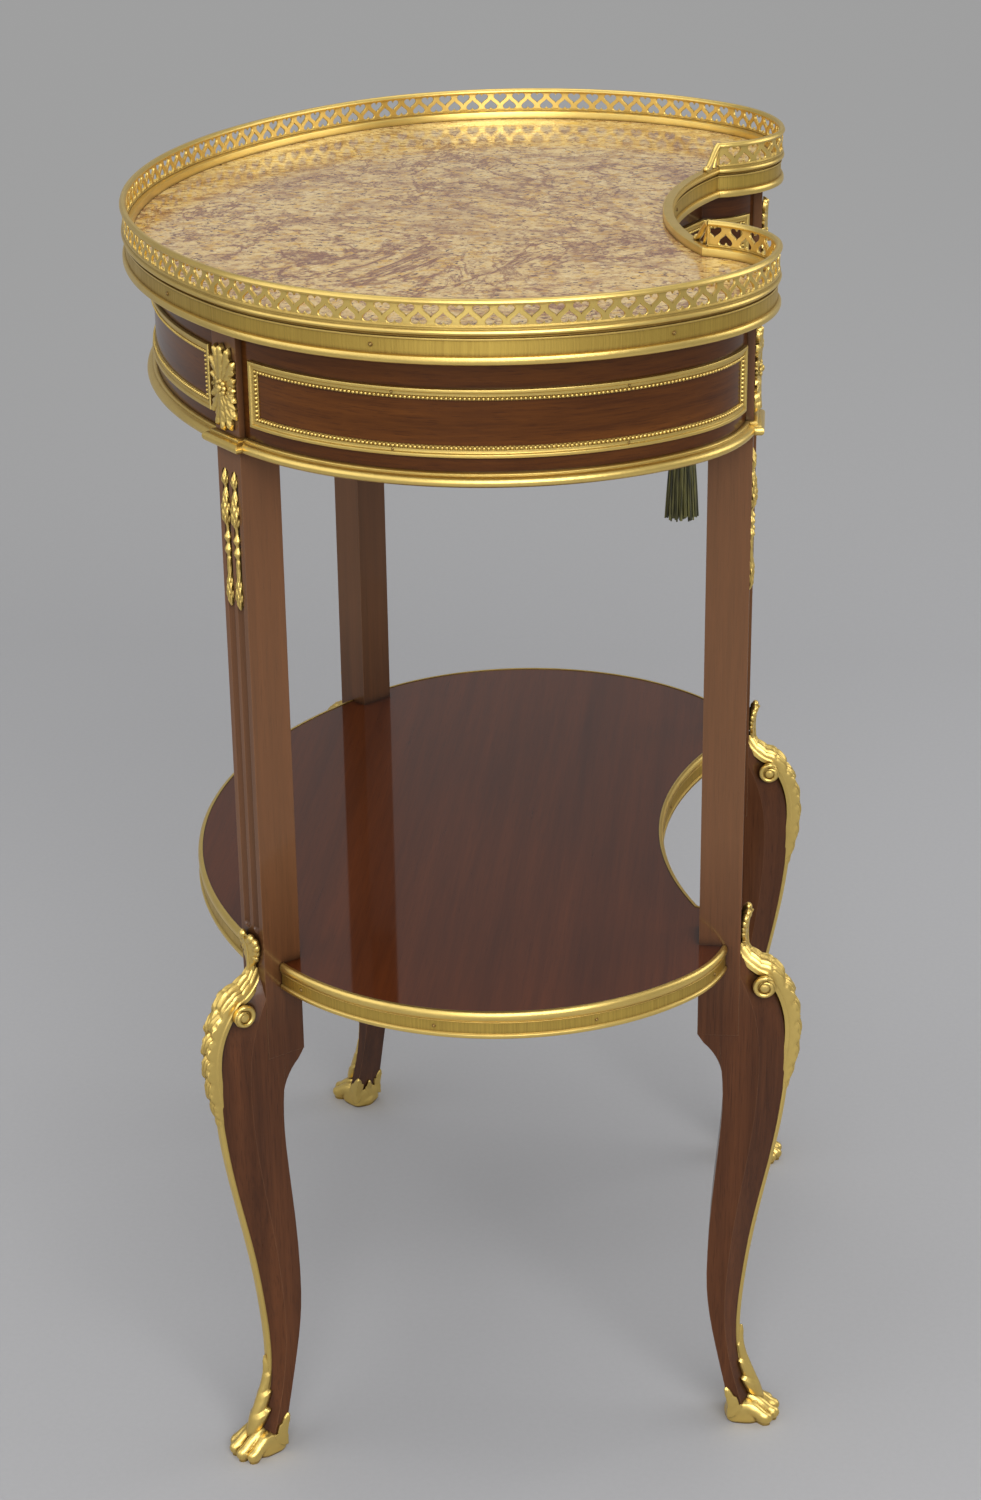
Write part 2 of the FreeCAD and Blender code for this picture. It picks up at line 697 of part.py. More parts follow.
# Sketch helpers for the pieces that are padded or turned; polygons start as a ring of this radius
START_RADIUS = 50


def body_with_sketch(label, role):
    """Empty body and a sketch on one of its origin planes."""
    body = document.addObject("PartDesign::Body", label + "_body")
    plane = next(part for part in body.Origin.OriginFeatures if part.Role == role)
    sketch = body.newObject("Sketcher::SketchObject", label + "_sketch")
    sketch.AttachmentSupport = [(plane, "")]
    sketch.MapMode = "FlatFace"
    return body, sketch


def draw_polygon(sketch, corners):
    """Closed polygon whose corners are bound to expressions."""
    count = len(corners)
    turn = 2 * math.pi / count
    start = [Vector(math.cos(i * turn), math.sin(i * turn), 0) * START_RADIUS for i in range(count)]
    for i in range(count):
        sketch.addGeometry(Part.LineSegment(start[i], start[(i + 1) % count]), False)
    for i in range(count):
        sketch.addConstraint(Sketcher.Constraint("Coincident", i, 2, (i + 1) % count, 1))
    for i, (across, along) in enumerate(corners):
        for kind, axis, expression in (("DistanceX", -2, across), ("DistanceY", -1, along)):
            if expression == "0":
                sketch.addConstraint(Sketcher.Constraint("PointOnObject", i, 1, axis))
                continue
            index = sketch.addConstraint(Sketcher.Constraint(kind, -1, 1, i, 1, 1.0))
            sketch.setExpression(f"Constraints[{index}]", expression)


def put(made, x, y, z):
    """Bind the place of an object."""
    return bind(made, {"Placement.Base.x": x, "Placement.Base.y": y, "Placement.Base.z": z})


def plate(label, x, y, z, length, width, thickness):
    """Rectangular plate, padded up from its lower face."""
    body, sketch = body_with_sketch(label, "XY_Plane")
    draw_polygon(sketch, [("0", "0"), (length, "0"), (length, width), ("0", width)])
    pad = body.newObject("PartDesign::Pad", label + "_pad")
    pad.Profile = sketch
    pad.setExpression("Length", thickness)
    return put(body, x, y, z)


def turned(label, x, y, z, profile):
    """Solid of revolution about an upright axis."""
    body, sketch = body_with_sketch(label, "XZ_Plane")
    draw_polygon(sketch, profile)
    spun = body.newObject("PartDesign::Revolution", label + "_revolution")
    spun.Profile = sketch
    spun.ReferenceAxis = (sketch, ["V_Axis"])
    spun.Angle = 360
    return put(body, x, y, z)


def cuboid(label, x, y, z, length, width, height):
    """Box bound to expressions."""
    made = document.addObject("Part::Box", label)
    bind(made, {"Length": length, "Width": width, "Height": height})
    return put(made, x, y, z)


def cross_rod(label, radius, length, y, z):
    """Rod along -Y from a point on the middle plane."""
    made = document.addObject("Part::Cylinder", label)
    made.Placement = Placement(Vector(), Rotation(Vector(1, 0, 0), 90))
    bind(made, {"Radius": radius, "Height": length})
    return put(made, "0", y, z)


def boolean(kind, label, base, tool):
    """Cut or common of two objects."""
    made = document.addObject("Part::" + kind, label)
    made.Base = base
    made.Tool = tool
    return made


def fused(label, parts):
    """Union of several objects."""
    made = document.addObject("Part::MultiFuse", label)
    made.Shapes = parts
    return made


# Expressions for the drawer and the lock
FRONT_REACH = "(sizes.top_end_radius - sizes.top_front_setback)"
BACK_REACH = "(sizes.top_end_radius + sizes.top_back_rise)"
FACE_Y = f"(sizes.plan_offset - {FRONT_REACH} + sizes.top_notch_depth + sizes.frieze_inset)"
FRONT_Y = f"(sizes.plan_offset - {FRONT_REACH})"
BACK_Y = f"(sizes.plan_offset + {BACK_REACH} - sizes.drawer_back_room)"
UNDER_TOP = "(sizes.rim_height - sizes.band_height)"
DRAWER_TOP = f"({UNDER_TOP} - sizes.drawer_gap)"
RAIL_TOP = f"({UNDER_TOP} - sizes.frieze_height + sizes.lower_rail_height)"
BOX_Z = f"({RAIL_TOP} + sizes.drawer_gap + sizes.drawer_lift)"
SHOULDER_GAP = "(sizes.top_end_radius - sizes.top_shoulder_radius)"
SHOULDER_Y = f"({FRONT_REACH} - sizes.top_shoulder_radius)"
LEG_X = f"(sizes.top_half_length - sizes.top_end_radius + sqrt({SHOULDER_GAP}^2 - {SHOULDER_Y}^2))"
OUTER_HALF = f"({LEG_X} - sizes.leg_size / 2 - sizes.drawer_side_room)"
INNER_HALF = f"({OUTER_HALF} - sizes.drawer_wall)"
KEY_Z = f"({UNDER_TOP} - sizes.key_drop)"
LOCK_Y = f"({FACE_Y} + sizes.front_thickness - sizes.lock_recess)"
SLOT_DEPTH = "(sizes.lock_depth - 2 * sizes.lock_wall)"

# Key, made first because the lock and the front are bored for it
KEY_INNER = f"({LOCK_Y} + sizes.lock_depth - sizes.lock_wall - sizes.bolt_clearance)"
KEY_OUTER = f"({FACE_Y} - sizes.key_stand)"
shank = cross_rod("key_shank", "sizes.shank_radius", f"{KEY_INNER} - {KEY_OUTER}", KEY_INNER, KEY_Z)
collar = cross_rod("key_collar", "sizes.shank_radius + sizes.collar_rim", "sizes.collar_length",
                   f"{KEY_OUTER} + sizes.collar_length", KEY_Z)
bow = document.addObject("Part::Torus", "key_bow")
bow.Placement = Placement(Vector(), Rotation(Vector(0, 1, 0), 90))
bind(bow, {"Radius1": "sizes.bow_radius", "Radius2": "sizes.bow_wire"})
put(bow, "0", f"{KEY_OUTER} - sizes.bow_radius", KEY_Z)
BIT_LENGTH = f"({SLOT_DEPTH} - 4 * sizes.bolt_clearance)"
bit = cuboid("key_bit", "-sizes.bit_thickness / 2", f"{LOCK_Y} + sizes.lock_wall + 2 * sizes.bolt_clearance",
             f"{KEY_Z} - sizes.bit_reach", "sizes.bit_thickness", BIT_LENGTH, "sizes.bit_reach")
keep("key", fused("key", [shank, collar, bow, bit]))

# Keyhole through the escutcheon, the front and the face of the lock
BORE = "(sizes.shank_radius + sizes.key_clearance)"
HOLE_START = f"({LOCK_Y} + sizes.lock_wall)"
HOLE_RUN = f"({HOLE_START} - {KEY_OUTER})"
bore = cross_rod("key_bore", BORE, HOLE_RUN, HOLE_START, KEY_Z)
slit = cuboid("key_slit", "-sizes.bit_thickness / 2 - sizes.bolt_clearance", KEY_OUTER,
              f"{KEY_Z} - sizes.bit_reach - 2 * sizes.bolt_clearance",
              "sizes.bit_thickness + 2 * sizes.bolt_clearance", HOLE_RUN, "sizes.bit_reach")
keyhole = fused("keyhole", [bore, slit])

# Drawer front, shaped like the frieze, recessed for the lock
front_inner = size("frieze_inset") + size("front_thickness")
front_wall = top.ring(size("frieze_inset"), front_inner, drawer_foot, drawer_top)
front_blank = document.addObject("Part::Feature", "front_blank")
front_blank.Shape = between_legs(front_wall, size("drawer_gap"), frieze_foot, size("frieze_height"))["front"]
recess = cuboid("lock_recess", "-sizes.lock_width / 2", LOCK_Y, f"{DRAWER_TOP} - sizes.lock_height",
                "sizes.lock_width", "sizes.lock_depth", "sizes.lock_height")
front_cut = fused("front_cut", [recess, keyhole])
keep("drawer_front", boolean("Cut", "drawer_front", front_blank, front_cut))

# Drawer box, cut to the back of the front
inside_front = document.addObject("Part::Feature", "inside_front")
inside_front.Shape = top.slab(front_inner, drawer_foot, drawer_top)
BOX_RUN = f"({BACK_Y} - {FRONT_Y})"
for side, x in (("left", f"-{OUTER_HALF}"), ("right", INNER_HALF)):
    wall = plate("drawer_side_blank_" + side, x, FRONT_Y, BOX_Z,
                 "sizes.drawer_wall", BOX_RUN, "sizes.drawer_height")
    keep("drawer_side_" + side, boolean("Common", "drawer_side_" + side, wall, inside_front))
keep("drawer_back", plate("drawer_back", f"-{INNER_HALF}", f"{BACK_Y} - sizes.drawer_wall", BOX_Z,
                          f"2 * {INNER_HALF}", "sizes.drawer_wall", "sizes.drawer_height"))
floor = plate("drawer_floor_blank", f"-{INNER_HALF}", FRONT_Y, f"{BOX_Z} + sizes.bottom_groove",
              f"2 * {INNER_HALF}", f"{BOX_RUN} - sizes.drawer_wall", "sizes.drawer_bottom")
keep("drawer_bottom", boolean("Common", "drawer_bottom", floor, inside_front))

# Runners with a guide beside the drawer, and kickers above its sides
inside_frieze = document.addObject("Part::Feature", "inside_frieze")
inside_frieze.Shape = top.slab(rail_inner, frieze_foot, under_top)
RUN_LENGTH = f"({BACK_REACH} + {FRONT_REACH})"
RUNNER_RISE = f"({BOX_Z} - sizes.runner_gap - {UNDER_TOP} + sizes.frieze_height)"
GUIDE_X = f"({OUTER_HALF} + sizes.runner_gap)"
SIDE_TOP = f"({BOX_Z} + sizes.drawer_height + sizes.runner_gap)"
for side, sign in (("left", "-"), ("right", "")):
    body, sketch = body_with_sketch("runner_" + side, "XZ_Plane")
    edge = f"{sign}({GUIDE_X} + sizes.guide_width)"
    inner = f"{sign}({GUIDE_X} + sizes.guide_width - sizes.runner_width)"
    guide_head = f"{RUNNER_RISE} + sizes.guide_height"
    draw_polygon(sketch, [(inner, "0"), (edge, "0"), (edge, guide_head), (f"{sign}{GUIDE_X}", guide_head),
                          (f"{sign}{GUIDE_X}", RUNNER_RISE), (inner, RUNNER_RISE)])
    pad = body.newObject("PartDesign::Pad", "runner_pad_" + side)
    pad.Profile = sketch
    pad.setExpression("Length", RUN_LENGTH)
    put(body, "0", f"sizes.plan_offset + {BACK_REACH}", f"{UNDER_TOP} - sizes.frieze_height")
    keep("drawer_runner_" + side, boolean("Common", "drawer_runner_" + side, body, inside_frieze))
    kicker_x = INNER_HALF if sign == "" else f"-{OUTER_HALF}"
    kicker = plate("kicker_" + side, kicker_x, FRONT_Y, SIDE_TOP, "sizes.drawer_wall", RUN_LENGTH,
                   f"{UNDER_TOP} - {SIDE_TOP}")
    keep("drawer_kicker_" + side, boolean("Common", "drawer_kicker_" + side, kicker, inside_frieze))

# Lock case with the bolt's slot and the chamber that the bit turns in
case = cuboid("lock_block", "-sizes.lock_width / 2", LOCK_Y, f"{DRAWER_TOP} - sizes.lock_height",
              "sizes.lock_width", "sizes.lock_depth", "sizes.lock_height")
SLOT_Y = f"({LOCK_Y} + sizes.lock_wall)"
slot = cuboid("bolt_slot", "-sizes.bolt_width / 2 - sizes.bolt_clearance", SLOT_Y, KEY_Z,
              "sizes.bolt_width + 2 * sizes.bolt_clearance", SLOT_DEPTH, f"{DRAWER_TOP} - {KEY_Z}")
chamber = cross_rod("bit_chamber", "sizes.bit_reach + 2 * sizes.bolt_clearance", SLOT_DEPTH,
                    f"{SLOT_Y} + {SLOT_DEPTH}", KEY_Z)
keep("lock_case", boolean("Cut", "lock_case", case, fused("lock_hollow", [slot, chamber, keyhole])))
BOLT_FOOT = f"({KEY_Z} + sizes.bit_reach + sizes.bolt_clearance)"
keep("lock_bolt", plate("lock_bolt", "-sizes.bolt_width / 2", f"{SLOT_Y} + sizes.bolt_clearance", BOLT_FOOT,
                        "sizes.bolt_width", f"{SLOT_DEPTH} - 2 * sizes.bolt_clearance",
                        f"{DRAWER_TOP} - {BOLT_FOOT}"))

# Board under the marble, rebated for it and mortised for the bolt
rebated = document.addObject("Part::Feature", "rebated_board")
rebated.Shape = solids(board.cut(marble_well))
mortise = cuboid("bolt_mortise", "-sizes.bolt_width / 2 - 2 * sizes.bolt_clearance", SLOT_Y, UNDER_TOP,
                 "sizes.bolt_width + 4 * sizes.bolt_clearance", SLOT_DEPTH,
                 "sizes.bolt_throw + 2 * sizes.bolt_clearance")
keep("top_board", boolean("Cut", "top_board", rebated, mortise))

# Escutcheon: oval plate seated on the curved face of the front
key_z = under_top - size("key_drop")
face_y = top.origin_y - top.notch_reach + size("frieze_inset")
oval = Part.Ellipse(Vector(0, 0, 0), size("escutcheon_height") / 2, size("escutcheon_width") / 2).toShape()
oval_place = Vector(0, face_y - size("escutcheon_thickness"), key_z)
oval.Placement = Placement(oval_place, Rotation(Vector(1, 1, 1), -120))
oval_plate = Part.Face(Part.Wire([oval])).extrude(Vector(0, size("front_thickness"), 0))
escutcheon_blank = document.addObject("Part::Feature", "escutcheon_blank")
escutcheon_blank.Shape = solids(oval_plate.cut(top.slab(size("frieze_inset"), drawer_foot, drawer_top)))
keep("escutcheon", boolean("Cut", "escutcheon", escutcheon_blank, keyhole))

# Tassel on the shank of the key, behind its collar
LOOP_Y = f"({KEY_OUTER} + sizes.collar_length + sizes.cord_radius + sizes.cord_clearance)"
LOOP_RADIUS = "(sizes.shank_radius + sizes.cord_clearance + sizes.cord_radius)"
loop = document.addObject("Part::Torus", "cord_loop")
loop.Placement = Placement(Vector(), Rotation(Vector(1, 0, 0), 90))
bind(loop, {"Radius1": LOOP_RADIUS, "Radius2": "sizes.cord_radius"})
put(loop, "0", LOOP_Y, KEY_Z)
hang = document.addObject("Part::Cylinder", "cord_run")
bind(hang, {"Radius": "sizes.cord_radius", "Height": f"sizes.cord_drop - {LOOP_RADIUS}"})
put(hang, "0", LOOP_Y, f"{KEY_Z} - sizes.cord_drop")
keep("tassel_cord", fused("tassel_cord", [loop, hang]))
HEAD = "sizes.tassel_head_radius"
keep("tassel_head", turned("tassel_head", "0", LOOP_Y, f"{KEY_Z} - sizes.cord_drop", [
    ("0", "0"), (f"{HEAD} * 0.3", "0"), (f"{HEAD} * 0.8", f"-{HEAD} * 0.3"), (HEAD, f"-{HEAD} * 0.8"),
    (HEAD, f"-{HEAD} * 1.2"), (f"{HEAD} * 0.75", f"-{HEAD} * 1.7"), (f"{HEAD} * 0.75", f"-{HEAD} * 2"),
    ("0", f"-{HEAD} * 2")]))
SKIRT = "sizes.tassel_skirt_radius"
LENGTH = "sizes.tassel_skirt_length"
keep("tassel_skirt", turned("tassel_skirt", "0", LOOP_Y, f"{KEY_Z} - sizes.cord_drop - 2 * {HEAD}", [
    ("0", "0"), (f"{HEAD} * 0.8", "0"), (f"{SKIRT} * 0.85", f"-{LENGTH} * 0.25"),
    (SKIRT, f"-{LENGTH} * 0.7"), (SKIRT, f"-{LENGTH}"), ("0", f"-{LENGTH}")]))

document.recompute()

os.makedirs("parts", exist_ok=True)
for made in document.Objects:
    if {"Invalid", "Error"} & set(made.State):
        raise RuntimeError(f"{made.Label} failed: {made.State}")
bad = [made.Label for made in nodes if made.Shape.isNull() or not made.Shape.isValid()]
if bad:
    raise RuntimeError(f"bad shapes: {bad}")
for made in nodes:
    made.Shape.exportStep(f"parts/{made.Label}.step")
    print(made.Label, len(made.Shape.Solids), round(made.Shape.Volume))
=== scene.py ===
"""Looks of a kidney-shaped occasional table with gilt mounts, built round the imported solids.

Sizes are in millimetres in the table's own frame: +Z up, -Y the concave drawer side, X the long axis.
Meshes are scaled to metres when they are made.
"""

import logging
import math
import random
from collections.abc import Sequence
from dataclasses import dataclass, field
from enum import Enum, IntEnum

import bmesh
import bpy
import numpy as np
from mathutils import Matrix, Vector, geometry
from mathutils.bvhtree import BVHTree


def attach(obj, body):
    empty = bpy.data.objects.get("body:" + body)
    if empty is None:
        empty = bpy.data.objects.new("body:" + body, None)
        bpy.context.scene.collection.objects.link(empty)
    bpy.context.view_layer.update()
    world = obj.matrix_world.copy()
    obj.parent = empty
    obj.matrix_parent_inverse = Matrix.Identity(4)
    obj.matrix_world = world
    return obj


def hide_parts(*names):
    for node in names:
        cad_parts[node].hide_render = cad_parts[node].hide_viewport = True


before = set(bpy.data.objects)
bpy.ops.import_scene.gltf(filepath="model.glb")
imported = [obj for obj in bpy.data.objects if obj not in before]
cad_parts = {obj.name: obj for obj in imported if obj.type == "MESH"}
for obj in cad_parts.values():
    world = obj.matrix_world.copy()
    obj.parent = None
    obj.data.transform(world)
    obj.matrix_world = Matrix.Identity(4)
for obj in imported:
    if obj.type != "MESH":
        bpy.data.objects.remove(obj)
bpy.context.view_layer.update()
MM = 0.001
FULL_TURN = 2 * math.pi
LOG = logging.getLogger("table")

Points = np.ndarray
Face = tuple[int, ...]
Pair = tuple[float, float]
Triple = tuple[float, float, float]
Socket = bpy.types.NodeSocket
NodeTree = bpy.types.NodeTree
Material = bpy.types.Material
Mesh = bpy.types.Mesh
Value = float | tuple[float, ...] | Socket


class Body(Enum):
    """Bodies of the table that carry dressed pieces."""

    CARCASS = "carcass"
    DRAWER = "drawer"
    TASSEL = "tassel"


class Slot(Enum):
    """Material slots of the table's record, named in each dressed piece's dress."""

    GILT = "gilt_bronze"
    SILK = "silk"


class Metal(IntEnum):
    """Metals of the table. The first three are also the material numbers on gilt pieces."""

    GILT = 0
    BRUSHED = 1
    PIN = 2
    LOCK = 3
    STEEL = 4


class Grain(Enum):
    """Way the figure of a wooden piece runs, as stretch of the noise along X, Y and Z."""

    UPRIGHT = (1.0, 1.0, 0.035)
    ALONG = (0.035, 1.0, 1.0)
    LEVEL = (0.06, 0.06, 1.0)


def circle(sides: int) -> Points:
    """Angles evenly round a full turn."""
    return np.linspace(0, FULL_TURN, sides, endpoint=False)


def headings(path: Points) -> Points:
    """Unit directions along a path."""
    ahead = np.gradient(path, axis=0)
    return ahead / np.linalg.norm(ahead, axis=1)[:, None]


class Draft:
    """Mesh in the making."""

    def __init__(self) -> None:
        """Start with no faces."""
        self.points: list[Points] = []
        self.faces: list[Face] = []
        self.tones: list[int] = []
        self.count = 0

    def add(self, points: Points, faces: list[Face], tones: list[int] | None = None) -> None:
        """Add loose geometry.

        Args:
            points: Corners, one row each.
            faces: Corner numbers of each face.
            tones: Material number of each face, if not the first.
        """
        flat = np.asarray(points, float).reshape(-1, 3)
        self.points.append(flat)
        self.faces += [tuple(i + self.count for i in face) for face in faces]
        self.tones += tones or [0] * len(faces)
        self.count += len(flat)

    def grid(self, rows: Points, wrap_rows: bool = False, wrap_cols: bool = False,
             caps: bool = False, tones: list[int] | None = None) -> None:
        """Add a net of four-sided faces.

        Args:
            rows: Corners as (row, column, axis).
            wrap_rows: Whether the last row joins the first.
            wrap_cols: Whether the last column joins the first.
            caps: Whether the first and last rows are closed by a face.
            tones: Material number of each column of faces.
        """
        high, wide = rows.shape[:2]
        faces: list[Face] = []
        marks: list[int] = []
        for i in range(high if wrap_rows else high - 1):
            k = (i + 1) % high
            for j in range(wide if wrap_cols else wide - 1):
                m = (j + 1) % wide
                faces.append((i * wide + j, i * wide + m, k * wide + m, k * wide + j))
                marks.append(tones[j] if tones else 0)
        if caps:
            faces.append(tuple(range(wide)))
            faces.append(tuple((high - 1) * wide + j for j in reversed(range(wide))))
            marks += [0, 0]
        self.add(rows, faces, marks)

    def skin(self, rings: Points | list[Points], tones: list[int] | None = None) -> None:
        """Add a net through rings of corners, with a face at each end."""
        self.grid(np.asarray(rings), wrap_cols=True, caps=True, tones=tones)

    def at(self, leg: "LegPlace") -> "Draft":
        """Copy of a draft drawn in a leg's frame, put where the leg stands."""
        c, s = math.cos(leg.facing), math.sin(leg.facing)
        turn = np.array([[c, s, 0], [-s, c, 0], [0, 0, 1]])
        made = Draft()
        made.points = [points @ turn + np.array([leg.x, leg.y, 0]) for points in self.points]
        made.faces, made.tones, made.count = self.faces, self.tones, self.count
        return made

    def mesh(self, name: str, sharp: float = 40.0) -> Mesh:
        """Mesh in metres with outward faces.

        Args:
            name: Name of the mesh.
            sharp: Angle in degrees above which an edge stays sharp.

        Returns:
            The finished mesh.
        """
        made = bpy.data.meshes.new(name)
        made.from_pydata((np.vstack(self.points) * MM).tolist(), [], self.faces)
        made.polygons.foreach_set("material_index", self.tones)
        shell = bmesh.new()
        shell.from_mesh(made)
        bmesh.ops.recalc_face_normals(shell, faces=shell.faces)
        shell.to_mesh(made)
        shell.free()
        made.shade_smooth()
        made.set_sharp_from_angle(angle=math.radians(sharp))
        return made


@dataclass(frozen=True)
class Dress:
    """What a piece rides on and wears."""

    body: Body
    slot: Slot
    materials: tuple[Material, ...]


def put(name: str, data: bpy.types.ID) -> bpy.types.Object:
    """Put a new object into the scene."""
    made = bpy.data.objects.new(name, data)
    bpy.context.scene.collection.objects.link(made)
    return made


def place_piece(name: str, data: bpy.types.ID, dress: Dress, *replaced: str) -> bpy.types.Object:
    """Put a piece into the scene on its body.

    Args:
        name: Name of the piece.
        data: Its mesh or curve.
        dress: What it rides on and wears.
        replaced: Nodes that it stands for.

    Returns:
        The new object.
    """
    made = put(name, data)
    if not data.materials:
        for material in dress.materials:
            data.materials.append(material)
    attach(made, dress.body.value)
    if replaced:
        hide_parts(*replaced)
    LOG.info("piece %s on %s for %s", name, dress.body.value, ", ".join(replaced) or "no node")
    return made


@dataclass(frozen=True)
class Arc:
    """Arc of a plan, from one angle to another."""

    x: float
    y: float
    radius: float
    start: float
    end: float

    def trace(self, step: float) -> Points:
        """Points along the arc, about a step apart."""
        count = max(2, math.ceil(abs(self.end - self.start) * self.radius / step)) + 1
        angles = np.linspace(self.start, self.end, count)
        x, y = self.radius * np.cos(angles), self.radius * np.sin(angles)
        return np.column_stack((self.x + x, self.y + y))


@dataclass(frozen=True)
class KidneyPlan:
    """Kidney outline of tangent arcs, as the solids have it."""

    half_length: float
    end_radius: float
    back_rise: float
    front_setback: float
    shoulder_radius: float
    lobe_radius: float
    notch_depth: float
    corner_angle: float
    origin_y: float = -20.5

    @property
    def end_x(self) -> float:
        """Centre of the end arcs."""
        return self.half_length - self.end_radius

    @property
    def front_reach(self) -> float:
        """Reach of the lobes in front of the plan centre."""
        return self.end_radius - self.front_setback

    @property
    def back_radius(self) -> float:
        """Radius of the long back arc."""
        reach = self.end_radius + self.back_rise
        return (self.end_x**2 + reach**2 - self.end_radius**2) / (2 * self.back_rise)

    @property
    def back_y(self) -> float:
        """Centre of the back arc, from the plan centre."""
        return self.end_radius + self.back_rise - self.back_radius

    @property
    def lobe_x(self) -> float:
        """Centre of the lobes."""
        reach = self.end_radius - self.shoulder_radius
        rise = self.shoulder_radius - self.front_reach
        return self.end_x + math.sqrt(reach**2 - rise**2)

    def arcs(self, inset: float) -> list[Arc]:
        """Arcs of the outline, from the right corner of the notch round to it again.

        Args:
            inset: Distance inside the outline.

        Returns:
            Seven outward arcs and the notch.
        """
        shoulder_y = self.shoulder_radius - self.front_reach
        lobe_y = self.lobe_radius - self.front_reach
        notch_reach = self.front_reach - self.notch_depth
        turn = math.radians(self.corner_angle)
        corner_x = self.lobe_x - self.lobe_radius * math.cos(turn)
        drop = self.lobe_radius * math.sin(turn) - lobe_y - notch_reach
        notch = (corner_x**2 + drop**2) / (2 * drop)
        notch_y = -notch_reach - notch
        lobe = self.lobe_radius - inset
        span = math.hypot(self.lobe_x, lobe_y - notch_y)
        along = (lobe**2 - (notch + inset) ** 2 + span**2) / (2 * span)
        across = math.sqrt(lobe**2 - along**2)
        run = np.array([-self.lobe_x, notch_y - lobe_y]) / span
        x, y = np.array([self.lobe_x, lobe_y]) + along * run + across * np.array([run[1], -run[0]])
        tip = 1.5 * math.pi
        join = math.atan2(shoulder_y, self.lobe_x - self.end_x)
        back = math.atan2(-self.back_y, self.end_x)
        lobe_start = math.atan2(y - lobe_y, x - self.lobe_x) % FULL_TURN
        notch_end = math.atan2(y - notch_y, x)
        base = self.origin_y
        right = [
            Arc(self.lobe_x, base + lobe_y, lobe, lobe_start, tip),
            Arc(self.lobe_x, base + shoulder_y, self.shoulder_radius - inset, tip, FULL_TURN + join),
            Arc(self.end_x, base, self.end_radius - inset, join, back),
        ]
        left = [Arc(-arc.x, arc.y, arc.radius, math.pi - arc.end, math.pi - arc.start)
                for arc in reversed(right)]
        middle = [Arc(0, base + self.back_y, self.back_radius - inset, back, math.pi - back)]
        return right + middle + left + [Arc(0, base + notch_y, notch + inset, math.pi - notch_end, notch_end)]

    def trace(self, inset: float, step: float, whole: bool = True) -> Points:
        """Points round the outline from the right corner, a step apart, without repeats."""
        arcs = self.arcs(inset)
        runs = [arc.trace(step)[:-1] for arc in (arcs if whole else arcs[:-1])]
        if not whole:
            runs.append(arcs[-2].trace(step)[-1:])
        return np.vstack(runs)


TOP_PLAN = KidneyPlan(
    half_length=294.8, end_radius=190, back_rise=41.7, front_setback=24, shoulder_radius=110, lobe_radius=58,
    notch_depth=65.5, corner_angle=17.55)
SHELF_PLAN = KidneyPlan(
    half_length=272, end_radius=166, back_rise=41, front_setback=19, shoulder_radius=92, lobe_radius=39,
    notch_depth=48, corner_angle=26.86)


@dataclass(frozen=True)
class Rail:
    """Line in plan that a moulding follows, with mitred outward normals."""

    points: Points
    closed: bool = False
    mitres: Points = field(init=False)
    lengths: Points = field(init=False)

    def __post_init__(self) -> None:
        """Work out the mitres and the running lengths."""
        ahead = np.roll(self.points, -1, 0) - self.points
        if not self.closed:
            ahead[-1] = ahead[-2]
        run = np.linalg.norm(ahead, axis=1)
        normal = np.column_stack((ahead[:, 1], -ahead[:, 0])) / run[:, None]
        before = np.roll(normal, 1, 0)
        if not self.closed:
            before[0] = normal[0]
        total = normal + before
        object.__setattr__(self, "mitres", 2 * total / (total**2).sum(1)[:, None])
        object.__setattr__(self, "lengths", np.concatenate(([0], np.cumsum(run[:-1]))))

    def at(self, along: Points, out: Points, height: Points) -> Points:
        """Points beside the rail, by running length, distance outwards and height."""
        base = [np.interp(along, self.lengths, self.points[:, k]) for k in (0, 1)]
        mitre = [np.interp(along, self.lengths, self.mitres[:, k]) for k in (0, 1)]
        return np.stack([base[0] + mitre[0] * out, base[1] + mitre[1] * out, height + 0 * along], -1)

    def sweep(self, draft: Draft, profile: Sequence[Pair], tones: list[int] | None = None) -> None:
        """Run a closed profile along the rail.

        Args:
            draft: Mesh that takes it.
            profile: Corners as (outwards, height).
            tones: Material number of each side of the profile.
        """
        out, height = np.array(profile, float).T
        net = np.empty((len(self.points), len(profile), 3))
        net[..., :2] = self.points[:, None] + self.mitres[:, None] * out[None, :, None]
        net[..., 2] = height[None]
        draft.grid(net, wrap_rows=self.closed, wrap_cols=True, caps=not self.closed, tones=tones)


@dataclass(frozen=True)
class LegPlace:
    """Axis of a leg in plan and the way that it faces."""

    name: str
    x: float
    y: float
    facing: float

    def local(self, points: Points) -> Points:
        """Plan points seen from the leg, as (outwards, sideways)."""
        c, s = math.cos(self.facing), math.sin(self.facing)
        away = points - np.array([self.x, self.y])
        return np.column_stack((away @ np.array([c, s]), away @ np.array([-s, c])))

    def world(self, outwards: float, sideways: float) -> Pair:
        """Plan point from its place on the leg."""
        c, s = math.cos(self.facing), math.sin(self.facing)
        return self.x + c * outwards - s * sideways, self.y + s * outwards + c * sideways


HALF_LEG = 12.5
LEG_FACE_INSET = 13.5
BACK_LEG_SHARE = 0.945


